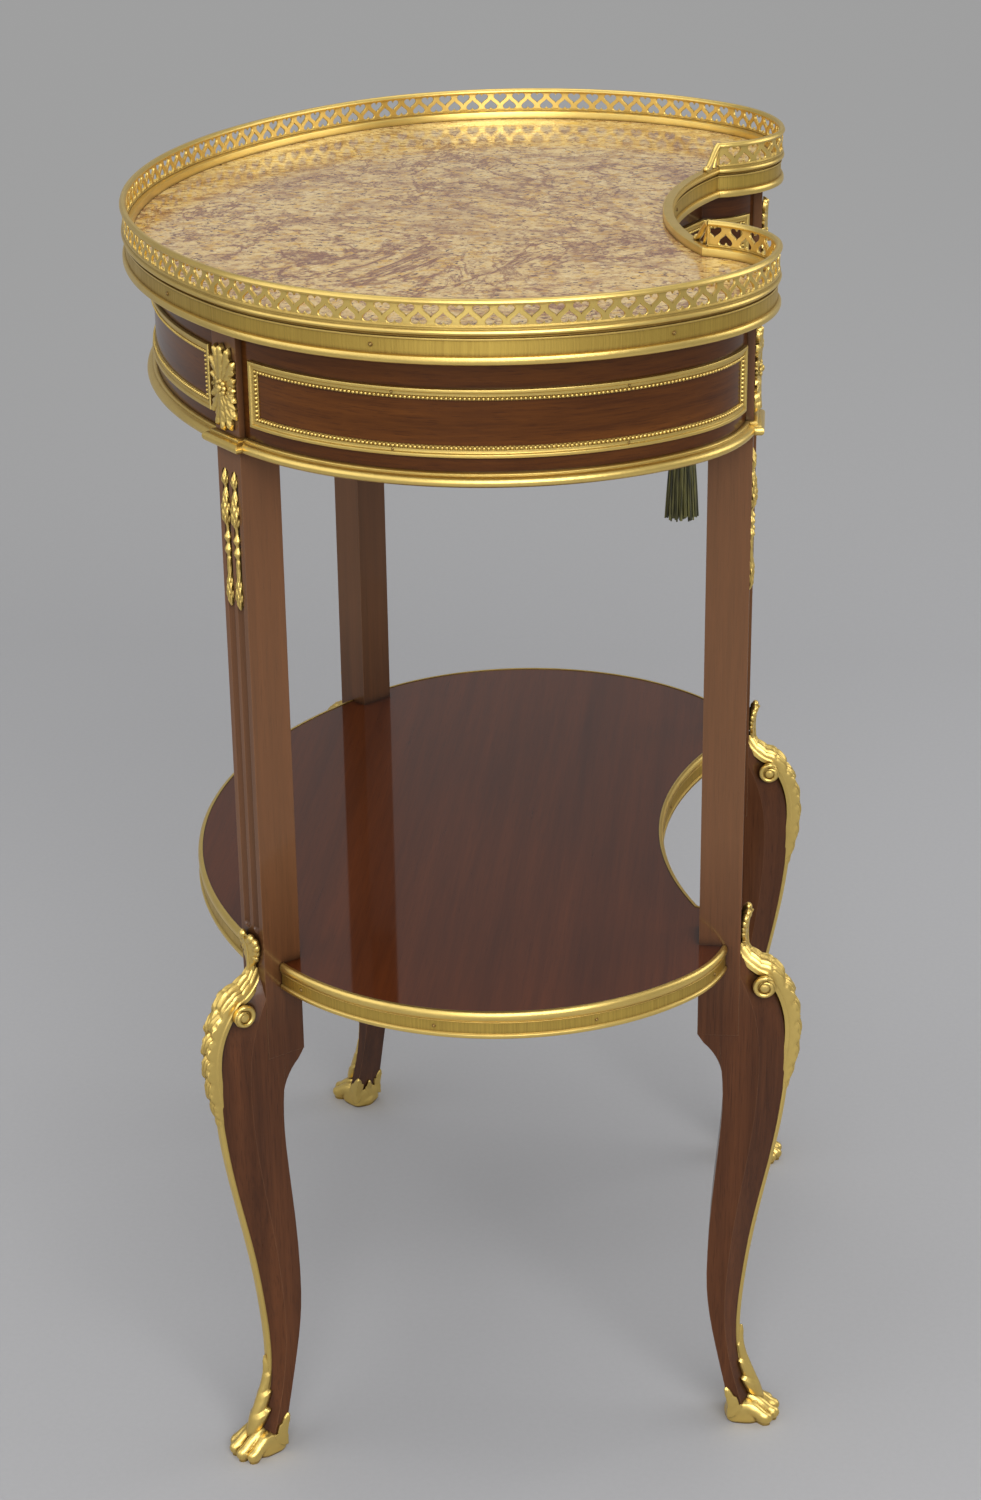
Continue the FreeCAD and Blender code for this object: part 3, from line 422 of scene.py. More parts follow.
def leg_places() -> list[LegPlace]:
    """Where the four legs stand."""
    axis = LEG_FACE_INSET + HALF_LEG
    angle = BACK_LEG_SHARE * math.atan2(TOP_PLAN.end_x, -TOP_PLAN.back_y)
    reach = TOP_PLAN.back_radius - axis
    back_y = TOP_PLAN.origin_y + TOP_PLAN.back_y + reach * math.cos(angle)
    front_y = TOP_PLAN.origin_y - TOP_PLAN.front_reach + axis
    places = []
    for side, sign in (("left", -1), ("right", 1)):
        facing = math.pi / 2 - sign * angle
        places.append(LegPlace("back_" + side, sign * reach * math.sin(angle), back_y, facing))
        places.append(LegPlace("front_" + side, sign * TOP_PLAN.lobe_x, front_y, -math.pi / 2))
    return places


LEGS = leg_places()


def between_legs(line: Points, gap: float) -> dict[str, Points]:
    """Lengths of a closed outline that lie clear of the legs.

    Args:
        line: Points round the outline.
        gap: Clearance beside each leg.

    Returns:
        Points of the front, right, back and left lengths.
    """
    hidden = np.zeros(len(line), bool)
    for leg in LEGS:
        out, side = leg.local(line).T
        hidden |= (np.abs(side) < HALF_LEG + gap) & (out > -HALF_LEG)
    start = int(np.argmax(hidden))
    order = np.roll(np.arange(len(line)), -start)
    runs: list[list[int]] = [[]]
    for i in order:
        if hidden[i]:
            if runs[-1]:
                runs.append([])
        else:
            runs[-1].append(i)
    lengths = {}
    for run in runs:
        if not run:
            continue
        part = line[run]
        x, y = (part.min(0) + part.max(0)) / 2
        if abs(x) > TOP_PLAN.end_x:
            lengths["left" if x < 0 else "right"] = part
        else:
            lengths["front" if y < TOP_PLAN.origin_y else "back"] = part
    return lengths


def place_on_legs(name: str, node: str, draft: Draft, dress: Dress, sharp: float) -> None:
    """Put a mount that is drawn in a leg's frame on each leg.

    Args:
        name: Name of the piece without the leg's.
        node: Name of the node that it stands for without the leg's.
        draft: The mount.
        dress: What it rides on and wears.
        sharp: Angle in degrees above which an edge stays sharp.
    """
    for leg in LEGS:
        mesh = draft.at(leg).mesh(name, sharp)
        place_piece(f"{name}_{leg.name}", mesh, dress, f"{node}_{leg.name}")


class Shader:
    """Node tree of a material or a group, built node by node."""

    def __init__(self, tree: NodeTree) -> None:
        """Take the tree that is filled."""
        self.tree = tree

    def node(self, kind: str, values: dict[str | int, Value] | None = None,
             **settings: object) -> bpy.types.Node:
        """Add a node.

        Args:
            kind: Type name of the node without its prefix.
            values: Numbers, colours or output sockets for its inputs.
            settings: Properties of the node.

        Returns:
            The new node.
        """
        made = self.tree.nodes.new("ShaderNode" + kind)
        for name, setting in settings.items():
            setattr(made, name, setting)
        for name, value in (values or {}).items():
            socket = made.inputs[name]
            if isinstance(value, Socket):
                self.tree.links.new(value, socket)
            elif socket.type == "RGBA":
                socket.default_value = (*value, 1.0)
            else:
                socket.default_value = value
        return made

    def group(self, tree: NodeTree, values: dict[str, Value]) -> bpy.types.NodeOutputs:
        """Outputs of a node group that is placed with the given inputs."""
        return self.node("Group", values, node_tree=tree).outputs

    def math(self, operation: str, a: Value, b: Value = 0.0) -> Socket:
        """Sum, product or other function of one or two values."""
        return self.node("Math", {0: a, 1: b}, operation=operation).outputs[0]

    def span(self, value: Socket, start: float, end: float, least: float = 0.0, most: float = 1.0,
             **settings: object) -> Socket:
        """Value carried from (start, end) to (least, most) and held at the ends."""
        ranges = {"Value": value, "From Min": start, "From Max": end, "To Min": least, "To Max": most}
        return self.node("MapRange", ranges, **settings).outputs[0]

    def mix(self, share: Value, a: Value, b: Value, blend: str = "MIX") -> Socket:
        """Blend of two colours."""
        return self.node("Mix", {0: share, 6: a, 7: b}, data_type="RGBA", blend_type=blend).outputs[2]

    def ramp(self, value: Socket, stops: tuple[tuple[float, Triple], ...]) -> Socket:
        """Colour looked up from a value among places with colours."""
        made = self.node("ValToRGB", {0: value})
        while len(made.color_ramp.elements) < len(stops):
            made.color_ramp.elements.new(1.0)
        for element, (place, colour) in zip(made.color_ramp.elements, stops):
            element.position = place
            element.color = (*colour, 1.0)
        return made.outputs[0]

    def noise(self, vector: Socket, scale: float, detail: float = 4.0, rough: float = 0.55,
              warp: float = 0.0) -> Socket:
        """Fractal noise with a number of features to the metre, finer layers and a bend."""
        values = {"Vector": vector, "Scale": scale, "Detail": detail, "Roughness": rough, "Distortion": warp}
        return self.node("TexNoise", values).outputs["Fac"]

    def stretch(self, vector: Socket, scale: Triple) -> Socket:
        """Coordinates stretched along the axes."""
        return self.node("Mapping", {"Vector": vector, "Scale": scale}).outputs[0]

    def relief(self, height: Socket, strength: float, depth: float, normal: Socket | None = None) -> Socket:
        """Normal of fine relief, with its depth in metres, on a normal or the face's own."""
        values = {"Strength": strength, "Distance": depth, "Height": height}
        if normal is not None:
            values["Normal"] = normal
        return self.node("Bump", values).outputs[0]


class Surface(Shader):
    """Material in the making."""

    def __init__(self, name: str) -> None:
        """Start an empty material that knows its place on the piece."""
        self.material = bpy.data.materials.new(name)
        self.material.use_nodes = True
        self.material.node_tree.nodes.clear()
        super().__init__(self.material.node_tree)
        self.place = self.node("TexCoord").outputs["Object"]

    def close(self, values: dict[str, Value]) -> Material:
        """Close the material with its surface shader and hand it over."""
        shine = self.node("BsdfPrincipled", values)
        self.tree.links.new(shine.outputs[0], self.node("OutputMaterial").inputs[0])
        return self.material


class Group(Shader):
    """Shader node group with named sockets."""

    KINDS = {"vector": "NodeSocketVector", "colour": "NodeSocketColor", "value": "NodeSocketFloat"}

    def __init__(self, name: str, inputs: dict[str, str], outputs: dict[str, str]) -> None:
        """Make the group and its sockets.

        Args:
            name: Name of the group.
            inputs: Kinds of its inputs by name.
            outputs: Kinds of its outputs by name.
        """
        super().__init__(bpy.data.node_groups.new(name, "ShaderNodeTree"))
        for way, sockets in (("INPUT", inputs), ("OUTPUT", outputs)):
            for socket, kind in sockets.items():
                self.tree.interface.new_socket(socket, in_out=way, socket_type=self.KINDS[kind])
        self.inside = self.tree.nodes.new("NodeGroupInput").outputs
        self.sink = self.tree.nodes.new("NodeGroupOutput").inputs

    def give(self, **sockets: Socket) -> None:
        """Join results to the group's outputs."""
        for name, socket in sockets.items():
            self.tree.links.new(socket, self.sink[name])


def wood_figure() -> NodeTree:
    """Group for the grain, pores and cloudy figure of polished wood."""
    group = Group("wood_figure", {"Place": "vector", "Dark": "colour", "Light": "colour"},
                  {"Colour": "colour", "Gloss": "value", "Height": "value"})
    place, dark = group.inside["Place"], group.inside["Dark"]
    cloud = group.noise(place, scale=9, detail=3, rough=0.5, warp=0.6)
    bands = group.noise(place, scale=60, detail=5, rough=0.6, warp=0.4)
    fine = group.noise(place, scale=420, detail=4, rough=0.65)
    pores = group.noise(place, scale=1500, detail=2, rough=0.5)
    share = group.math("ADD", group.math("MULTIPLY", cloud, 0.45), group.math("MULTIPLY", bands, 0.55))
    share = group.math("ADD", share, group.math("MULTIPLY", group.math("SUBTRACT", fine, 0.5), 0.35))
    body = group.mix(group.span(share, 0.3, 0.7), dark, group.inside["Light"])
    specks = group.span(pores, 0.56, 0.68, most=0.45)
    height = group.math("SUBTRACT", group.math("MULTIPLY", fine, 0.4), specks)
    group.give(Colour=group.mix(specks, body, dark), Gloss=group.span(fine, 0.0, 1.0, 0.24, 0.36),
               Height=height)
    return group.tree


def edge_wear_and_shade() -> NodeTree:
    """Group for eased edges, with a mask of the rubbed arrises and a mask of occluded corners that finishes
    darken as painted shade.
    """
    group = Group("edge_wear_and_shade", {"Ease": "value", "Reach": "value"},
                  {"Arris": "value", "Corner": "value", "Normal": "vector"})
    soft = group.node("Bevel", {"Radius": group.inside["Ease"]}, samples=4).outputs[0]
    face = group.node("NewGeometry").outputs["Normal"]
    turned = group.node("VectorMath", {0: soft, 1: face}, operation="DOT_PRODUCT").outputs["Value"]
    # Ambient occlusion finds the corners where shade falls; its mask is used to paint shade into them.
    shut = group.node("AmbientOcclusion", {"Distance": group.inside["Reach"]}, samples=6).outputs["AO"]
    group.give(Arris=group.span(turned, 0.985, 0.86), Corner=group.math("SUBTRACT", 1.0, shut), Normal=soft)
    return group.tree


def metal_wear_and_shade() -> NodeTree:
    """Group for gilding that is darkened in occluded recesses as painted shade, patchy with tarnish at random
    and streaked where brushed.
    """
    inputs = {"Place": "vector", "Bright": "colour", "Deep": "colour", "Corner": "value", "Streak": "value"}
    group = Group("metal_wear_and_shade", inputs, {"Colour": "colour", "Gloss": "value", "Height": "value"})
    place = group.inside["Place"]
    blotch = group.noise(place, scale=38, detail=4, rough=0.6)
    fine = group.noise(place, scale=900, detail=3, rough=0.6)
    patches = group.math("MULTIPLY", group.math("SUBTRACT", blotch, 0.45), 0.45)
    # Painted shade in recesses from the corner mask, with random patches of real tarnish.
    shade_and_patches = group.math("ADD", group.math("MULTIPLY", group.inside["Corner"], 1.5), patches)
    lines = group.math("MULTIPLY", group.inside["Streak"], fine)
    share = group.span(group.math("ADD", shade_and_patches, lines), 0.0, 0.9)
    dull = group.math("ADD", group.math("MULTIPLY", share, 0.25), group.math("MULTIPLY", fine, 0.12))
    group.give(Colour=group.mix(share, group.inside["Bright"], group.inside["Deep"]),
               Gloss=group.math("ADD", dull, 0.27), Height=fine)
    return group.tree


@dataclass(frozen=True)
class WoodFinish:
    """Polished wood."""

    name: str
    dark: Triple
    light: Triple
    grain: Grain
    shine: float = 0.14
    coat: float = 0.3
    polish: float = 0.09
    # Painted light: above these heights, in metres, the wood is blended this far towards the worn colour, so
    # it comes out lighter above the shelf, where more light falls.
    light_blend: float = 0.0
    light_blend_heights: Pair = (0.30, 0.42)
    bump: float = 0.12
    depth: float = 0.0004
    ease: float = 0.0007
    # Reach of the occlusion that finds the corners which are painted with shade.
    reach: float = 0.007
    # Colour of rubbed arrises, also used as the painted light on the legs.
    worn: Triple = (0.30, 0.15, 0.07)
    wear: float = 0.55
    # Painted shade: near-black colour blended into occluded corners, with its strength and the range of the
    # corner mask.
    corner_shade_colour: Triple = (0.010, 0.004, 0.0015)
    corner_shade: float = 0.8
    corner_shade_range: Pair = (0.1, 0.6)

    def material(self, figure: NodeTree, edges: NodeTree) -> Material:
        """Material of this finish.

        Args:
            figure: Group that draws the figure.
            edges: Group that finds edges and corners.

        Returns:
            The new material.
        """
        surface = Surface(self.name)
        grain = surface.stretch(surface.place, self.grain.value)
        wood = surface.group(figure, {"Place": grain, "Dark": self.dark, "Light": self.light})
        edge = surface.group(edges, {"Ease": self.ease, "Reach": self.reach})
        # Painted light: lighter above the light blend heights.
        height = surface.node("SeparateXYZ", {0: surface.place}).outputs["Z"]
        lit_share = surface.span(height, *self.light_blend_heights, most=self.light_blend)
        rubbed = surface.math("MULTIPLY", edge["Arris"], self.wear)
        # Painted shade: occluded corners darkened towards the near-black colour.
        corner_shade = surface.span(edge["Corner"], *self.corner_shade_range, most=self.corner_shade)
        colour = surface.mix(lit_share, wood["Colour"], self.worn)
        colour = surface.mix(rubbed, colour, self.worn)
        colour = surface.mix(corner_shade, colour, self.corner_shade_colour)
        return surface.close({
            "Base Color": colour, "Roughness": wood["Gloss"], "Specular IOR Level": self.shine,
            "Normal": surface.relief(wood["Height"], self.bump, self.depth, edge["Normal"]),
            "Coat Weight": self.coat, "Coat Roughness": self.polish})


@dataclass(frozen=True)
class MetalFinish:
    """Gilt or plain metal."""

    name: str
    bright: Triple
    deep: Triple
    brushed: Triple = (1.0, 1.0, 1.0)
    bump: float = 0.2
    streak: float = 0.0
    depth: float = 0.0004
    ease: float = 0.0003
    # Reach of the occlusion that paints shade into recesses.
    shade_reach: float = 0.0022

    def material(self, wear: NodeTree, edges: NodeTree) -> Material:
        """Material of this finish.

        Args:
            wear: Group that draws the wear and the painted shade in recesses.
            edges: Group that finds edges and corners.

        Returns:
            The new material.
        """
        surface = Surface(self.name)
        edge = surface.group(edges, {"Ease": self.ease, "Reach": self.shade_reach})
        metal = surface.group(wear, {
            "Place": surface.stretch(surface.place, self.brushed), "Bright": self.bright, "Deep": self.deep,
            "Corner": edge["Corner"], "Streak": self.streak})
        return surface.close({
            "Base Color": metal["Colour"], "Roughness": metal["Gloss"], "Metallic": 1.0,
            "Normal": surface.relief(metal["Height"], self.bump, self.depth, edge["Normal"])})


@dataclass(frozen=True)
class Fleck:
    """One sort of fleck in the marble: its noise, the values where it shows and its colour."""

    scale: float
    detail: float
    rough: float
    warp: float
    start: float
    end: float
    most: float
    colour: Triple


@dataclass(frozen=True)
class MarbleFinish:
    """Brecciated marble with streaked flecks and rusty veins."""

    name: str = "fleck_marble"
    streak: Triple = (1.0, 0.72, 1.0)
    ground: tuple[tuple[float, Triple], ...] = (
        (0.30, (0.20, 0.085, 0.040)), (0.39, (0.40, 0.215, 0.090)), (0.46, (0.60, 0.385, 0.135)),
        (0.53, (0.74, 0.545, 0.245)), (0.61, (0.62, 0.365, 0.080)), (0.72, (0.42, 0.205, 0.045)))
    mauve: Fleck = Fleck(230, 6, 0.74, 0.2, 0.535, 0.61, 0.85, (0.23, 0.105, 0.06))
    drift: float = 0.17
    flecks: tuple[Fleck, ...] = (
        Fleck(165, 6, 0.74, 0.1, 0.555, 0.61, 0.8, (0.80, 0.62, 0.32)),
        Fleck(120, 6, 0.74, 0.1, 0.555, 0.605, 0.8, (0.62, 0.345, 0.045)),
        Fleck(320, 4, 0.6, 0.2, 0.585, 0.63, 0.9, (0.10, 0.038, 0.022)))
    veins: tuple[Triple, ...] = (
        (4.0, 0.022, 0.4), (5.5, 0.010, 0.95), (11.0, 0.013, 0.8), (24.0, 0.016, 0.45))
    vein_colour: Triple = (0.20, 0.062, 0.024)
    gloss: Pair = (0.07, 0.17)
    bump: float = 0.05
    depth: float = 0.0003
    coat: float = 0.2
    polish: float = 0.1

    def material(self) -> Material:
        """Material of this marble."""
        surface = Surface(self.name)
        raw = surface.place
        place = surface.stretch(raw, self.streak)
        body = surface.ramp(surface.noise(place, scale=64, detail=9, rough=0.78, warp=0.2), self.ground)
        grain = self.noise(surface, place, self.mauve)
        cloud = surface.noise(raw, scale=15, detail=5, rough=0.65, warp=0.8)
        drift = surface.math("MULTIPLY", surface.math("SUBTRACT", cloud, 0.5), self.drift)
        body = self.fleck(surface, body, surface.math("ADD", grain, drift), self.mauve)
        for fleck in self.flecks:
            body = self.fleck(surface, body, self.noise(surface, place, fleck), fleck)
        for scale, width, depth in self.veins:
            bend = surface.noise(raw, scale, detail=7, rough=0.6, warp=0.6)
            line = surface.math("ABSOLUTE", surface.math("SUBTRACT", bend, 0.5))
            body = surface.mix(surface.span(line, width, 0.0, most=depth), body, self.vein_colour)
        return surface.close({
            "Base Color": body, "Roughness": surface.span(grain, 0.0, 1.0, *self.gloss),
            "Normal": surface.relief(grain, self.bump, self.depth), "Coat Weight": self.coat,
            "Coat Roughness": self.polish})

    @staticmethod
    def noise(surface: Surface, place: Socket, fleck: Fleck) -> Socket:
        """Noise that a sort of fleck is cut from."""
        return surface.noise(place, fleck.scale, fleck.detail, fleck.rough, fleck.warp)

    @staticmethod
    def fleck(surface: Surface, body: Socket, value: Socket, fleck: Fleck) -> Socket:
        """Colour with one sort of fleck laid over the body, cut from a noise."""
        return surface.mix(surface.span(value, fleck.start, fleck.end, most=fleck.most), body, fleck.colour)


@dataclass(frozen=True)
class SilkFinish:
    """Twisted silk threads."""

    name: str = "olive_silk"
    dark: Triple = (0.022, 0.022, 0.006)
    light: Triple = (0.20, 0.185, 0.05)
    along: Triple = (1.0, 1.0, 0.04)
    gloss: Pair = (0.4, 0.7)
    bump: float = 0.3
    depth: float = 0.0002
    sheen: float = 0.12
    sheen_gloss: float = 0.4

    def material(self) -> Material:
        """Material of the silk."""
        surface = Surface(self.name)
        strands = surface.noise(surface.stretch(surface.place, self.along), scale=520, detail=3, rough=0.6)
        winding = {"Vector": surface.place, "Scale": 900, "Distortion": 1.5, "Detail": 2}
        twist = surface.node("TexWave", winding, bands_direction="Z").outputs["Fac"]
        return surface.close({
            "Base Color": surface.ramp(strands, ((0.38, self.dark), (0.64, self.light))),
            "Roughness": surface.span(strands, 0.0, 1.0, *self.gloss),
            "Normal": surface.relief(twist, self.bump, self.depth), "Sheen Weight": self.sheen,
            "Sheen Roughness": self.sheen_gloss})


@dataclass(frozen=True)
class Finishes:
    """Materials of the table."""

    mahogany: dict[Grain, Material]
    oak: dict[Grain, Material]
    metals: dict[Metal, Material]
    marble: Material
    silk: Material

    @classmethod
    def make(cls) -> "Finishes":
        """Build every material once."""
        figure, wear, edges = wood_figure(), metal_wear_and_shade(), edge_wear_and_shade()
        # Deep colour of the gilding: random tarnish and brush streaks, and painted shade in recesses.
        tarnish_and_shade, oak_dark, oak_light = (0.20, 0.115, 0.028), (0.15, 0.085, 0.038), (0.33, 0.21, 0.105)
        mahogany = (
            # The legs get painted light: lighter above the shelf.
            WoodFinish("mahogany_posts", (0.027, 0.0085, 0.0028), (0.108, 0.036, 0.0115), Grain.UPRIGHT,
                       light_blend=0.3),
            WoodFinish("mahogany_shelf", (0.052, 0.0105, 0.0018), (0.106, 0.024, 0.0045), Grain.ALONG,
                       shine=0.03, coat=0.75, polish=0.045),
            WoodFinish("mahogany_frieze", (0.034, 0.0085, 0.0012), (0.132, 0.041, 0.005), Grain.LEVEL,
                       shine=0.06, coat=0.5, polish=0.06),
        )
        oak = [WoodFinish("oak_" + grain.name.lower(), oak_dark, oak_light, grain, shine=0.3, coat=0.0)
               for grain in (Grain.ALONG, Grain.LEVEL)]
        metals = {
            Metal.GILT: MetalFinish("gilt_bronze", (0.84, 0.61, 0.185), tarnish_and_shade),
            Metal.BRUSHED: MetalFinish("gilt_brushed", (0.75, 0.525, 0.118), tarnish_and_shade, brushed=(1.0, 1.0, 0.03),
                                       bump=0.45, streak=0.6),
            Metal.PIN: MetalFinish("pin_bronze", (0.30, 0.19, 0.065), (0.05, 0.026, 0.009)),
            Metal.LOCK: MetalFinish("lock_brass", (0.55, 0.40, 0.16), (0.12, 0.08, 0.03)),
            Metal.STEEL: MetalFinish("key_steel", (0.42, 0.40, 0.37), (0.10, 0.09, 0.08)),
        }
        return cls(
            mahogany={wood.grain: wood.material(figure, edges) for wood in mahogany},
            oak={wood.grain: wood.material(figure, edges) for wood in oak},
            metals={metal: finish.material(wear, edges) for metal, finish in metals.items()},
            marble=MarbleFinish().material(),
            silk=SilkFinish().material(),
        )

    def gilding(self, body: Body, *metals: Metal) -> Dress:
        """What a gilt piece rides on and wears, its metals in the order of their numbers."""
        return Dress(body, Slot.GILT, tuple(self.metals[metal] for metal in metals))


PIN_DOME = ((1.0, -0.2), (0.95, 0.3), (0.7, 0.62), (0.25, 0.78))
PIN_SIDES = 10


def pin_heads(draft: Draft, rail: Rail, spots: list[Pair], out: float, radius: float) -> None:
    """Small domed heads on a moulding.

    Args:
        draft: Mesh that takes them.
        rail: Line that the moulding follows.
        spots: Places as (running length, height).
        out: Distance of the moulding's face from the line.
        radius: Radius of a head.
    """
    turn = circle(PIN_SIDES)
    for along, height in spots:
        rings = []
        for share, rise in PIN_DOME:
            x, z = radius * share * np.cos(turn), radius * share * np.sin(turn)
            rings.append(rail.at(along + x, out + radius * rise, height + z))
        draft.skin(rings, [Metal.PIN] * PIN_SIDES)


@dataclass(frozen=True)
class EdgeBand:
    """Gilt edge band of the top."""

    profile: tuple[Pair, ...] = (
        (-3.6, 740.0), (-1.2, 740.0), (-0.35, 740.5), (0.0, 741.4), (-0.05, 743.2), (-0.5, 744.2),
        (-1.3, 744.6), (-2.0, 744.7), (-2.0, 752.9), (-1.5, 753.2), (-1.5, 754.0), (-2.6, 754.4),
        (-2.6, 755.0), (-1.2, 755.5), (-0.25, 756.3), (0.0, 757.2), (-0.3, 758.2), (-1.2, 758.9),
        (-1.2, 759.6), (-0.9, 760.0), (-6.0, 760.0), (-6.6, 759.7), (-6.86, 759.1), (-6.86, 755.1),
        (-3.6, 755.1))
    flat_foot: float = 744.7
    flat_inset: float = 2.0
    step: float = 2.4
    pins: int = 10
    pin_start: float = 0.55
    pin_height: float = 749.0
    pin_radius: float = 1.2

    def build(self, finishes: Finishes) -> None:
        """Make the band in the table's finishes."""
        dress = finishes.gilding(Body.CARCASS, Metal.GILT, Metal.BRUSHED, Metal.PIN)
        place_piece("edge_band", self.band(), dress, "top_edge_band")

    def band(self) -> Mesh:
        """Band with a bottom bead, a brushed flat, a groove and a rim roll."""
        tones = [Metal.BRUSHED if height == self.flat_foot else Metal.GILT for _, height in self.profile]
        draft = Draft()
        rail = Rail(TOP_PLAN.trace(0, self.step), closed=True)
        rail.sweep(draft, self.profile, tones)
        run = rail.lengths[-1]
        spots = [((k + self.pin_start) / self.pins * run, self.pin_height) for k in range(self.pins)]
        pin_heads(draft, rail, spots, -self.flat_inset, self.pin_radius)
        return draft.mesh("edge_band", sharp=30)


@dataclass(frozen=True)
class Gallery:
    """Pierced gilt gallery that stands on the top's edge band."""

    step: float = 2.4
    foot: float = 760.0
    head: float = 775.0
    rail_width: float = 4.2
    rail_profile: tuple[Pair, ...] = (
        (-1.0, 1.9), (-0.8, 0.7), (-0.35, 0.0), (0.35, 0.0), (0.8, 0.7), (1.0, 1.9), (0.7, 3.0), (-0.7, 3.0))
    bead_profile: tuple[Pair, ...] = (
        (-1.3, 0.0), (-1.3, 0.7), (-0.8, 1.1), (0.8, 1.1), (1.3, 0.7), (1.3, 0.0))
    wall_setback: float = 1.2
    wall: float = 1.6
    wall_step: float = 0.8
    wall_seats: Pair = (0.9, 0.2)
    chamfer: float = 0.28
    heart_pitch: float = 13.2
    heart_width: float = 8.8
    heart_height: float = 6.6
    heart_margin: float = 0.35
    heart_points: int = 26
    heart_shares: Pair = (0.25, 0.75)
    heart_scale: float = 14.4
    heart_shift: float = 0.17
    strip_step: float = 2.2
    hole_reach: float = 8.0
    weld: float = 1e-5
    ramp_run: float = 17.0
    ramp_step: float = 1.0
    ramp_rows: int = 25
    ramp_drop: float = 1.6
    ramp_rest: float = 2.6
    ramp_mix: Pair = (0.45, 0.55)
    ramp_radii: Pair = (2.05, 1.5)
    ball_lift: float = 0.3
    ball_radius: float = 2.2
    struts: tuple[tuple[int, int, float], ...] = ((0, 0, 0.0), (1, 9, 0.6))
    strut_rows: int = 6
    strut_radius: float = 1.0

    @property
    def rail_foot(self) -> float:
        """Height of the rail's underside."""
        return self.head - max(drop for _, drop in self.rail_profile)

    def build(self, finishes: Finishes) -> None:
        """Make the gallery in the table's finishes."""
        dress = finishes.gilding(Body.CARCASS, Metal.GILT, Metal.BRUSHED, Metal.PIN)
        place_piece("heart_gallery", self.gallery(), dress, "pierced_gallery")

    def gallery(self) -> Mesh:
        """Gallery of two staggered rows of hearts between a foot bead and a rounded rail."""
        draft = Draft()
        middle = self.wall_setback + self.wall / 2
        for arc in TOP_PLAN.arcs(middle)[:-1]:
            self.pierced_run(draft, arc)
        rail = Rail(TOP_PLAN.trace(middle, self.step, whole=False))
        half = self.rail_width / 2
        rail.sweep(draft, [(side * half, self.head - drop) for side, drop in self.rail_profile])
        rail.sweep(draft, [(out, self.foot + rise) for out, rise in self.bead_profile])
        for sign in (-1, 1):
            self.ramp(draft, sign, middle)
        return draft.mesh("heart_gallery", sharp=35)

    def heart_outline(self, grow: float) -> Points:
        """Heart with its point down, centred, as (sideways, height), moved outwards to grow."""
        half, tall = self.heart_width / 2, self.heart_height / 2
        turn = circle(self.heart_points)
        x = np.sin(turn) ** 3
        y = 13 * np.cos(turn) - 5 * np.cos(2 * turn) - 2 * np.cos(3 * turn) - np.cos(4 * turn)
        y = y / self.heart_scale + self.heart_shift
        return np.column_stack((x * (half + grow), y * (tall + grow)))

    def pierced_run(self, draft: Draft, arc: Arc) -> None:
        """Pierced wall along one arc.

        Args:
            draft: Mesh that takes it.
            arc: Arc of the wall's middle line.
        """
        run = abs(arc.end - arc.start) * arc.radius
        count = max(1, round(run / self.heart_pitch))
        pitch = run / count
        low, high = self.foot + self.wall_seats[0], self.rail_foot + self.wall_seats[1]
        margin = self.heart_margin + self.heart_height / 2
        lower, upper = self.heart_shares
        hearts = []
        for k in range(count):
            hearts.append((pitch * (k + lower), low + margin, -1))
            hearts.append((pitch * (k + upper), high - margin, 1))
        rail = Rail(arc.trace(self.wall_step))
        half = self.wall / 2
        eased = half - self.chamfer
        loops = {}
        for grow, out in ((self.chamfer, half), (0.0, eased), (0.0, -eased), (self.chamfer, -half)):
            shape = self.heart_outline(grow)
            loops[out] = [np.column_stack((x + shape[:, 0], z + way * shape[:, 1])) for x, z, way in hearts]
        for side in (half, -half):
            flat, faces = self.fill(run, low, high, loops[side])
            draft.add(rail.at(flat[:, 0], side, flat[:, 1]), faces)
        levels = sorted(loops, reverse=True)
        for k in range(len(hearts)):
            net = np.stack([rail.at(loops[out][k][:, 0], out, loops[out][k][:, 1]) for out in levels])
            draft.grid(net, wrap_cols=True)

    def fill(self, run: float, low: float, high: float, holes: list[Points]) -> tuple[Points, list[Face]]:
        """Triangles of a strip round its holes.

        Args:
            run: Length of the strip.
            low: Lower edge.
            high: Upper edge.
            holes: Outlines that stay open.

        Returns:
            Points and faces of the strip.
        """
        across = np.linspace(0, run, max(2, round(run / self.strip_step)) + 1)
        rim = [(x, low) for x in across] + [(x, high) for x in across[::-1]]
        corners: list[Vector] = []
        edges: list[Face] = []
        for outline in (rim, *holes):
            start, count = len(corners), len(outline)
            corners += [Vector((min(max(x, 0), run), z)) for x, z in outline]
            edges += [(start + i, start + (i + 1) % count) for i in range(count)]
        found = geometry.delaunay_2d_cdt(corners, edges, [], 1, self.weld)
        flat = np.array([tuple(p) for p in found[0]])
        centres = np.array([flat[list(face)].mean(0) for face in found[2]])
        pierced = np.zeros(len(centres), bool)
        for hole in holes:
            near = np.abs(centres[:, 0] - hole[:, 0].mean()) < self.hole_reach
            pierced[near] |= inside_outline(centres[near], hole)
        return flat, [tuple(face) for face, gone in zip(found[2], pierced) if not gone]

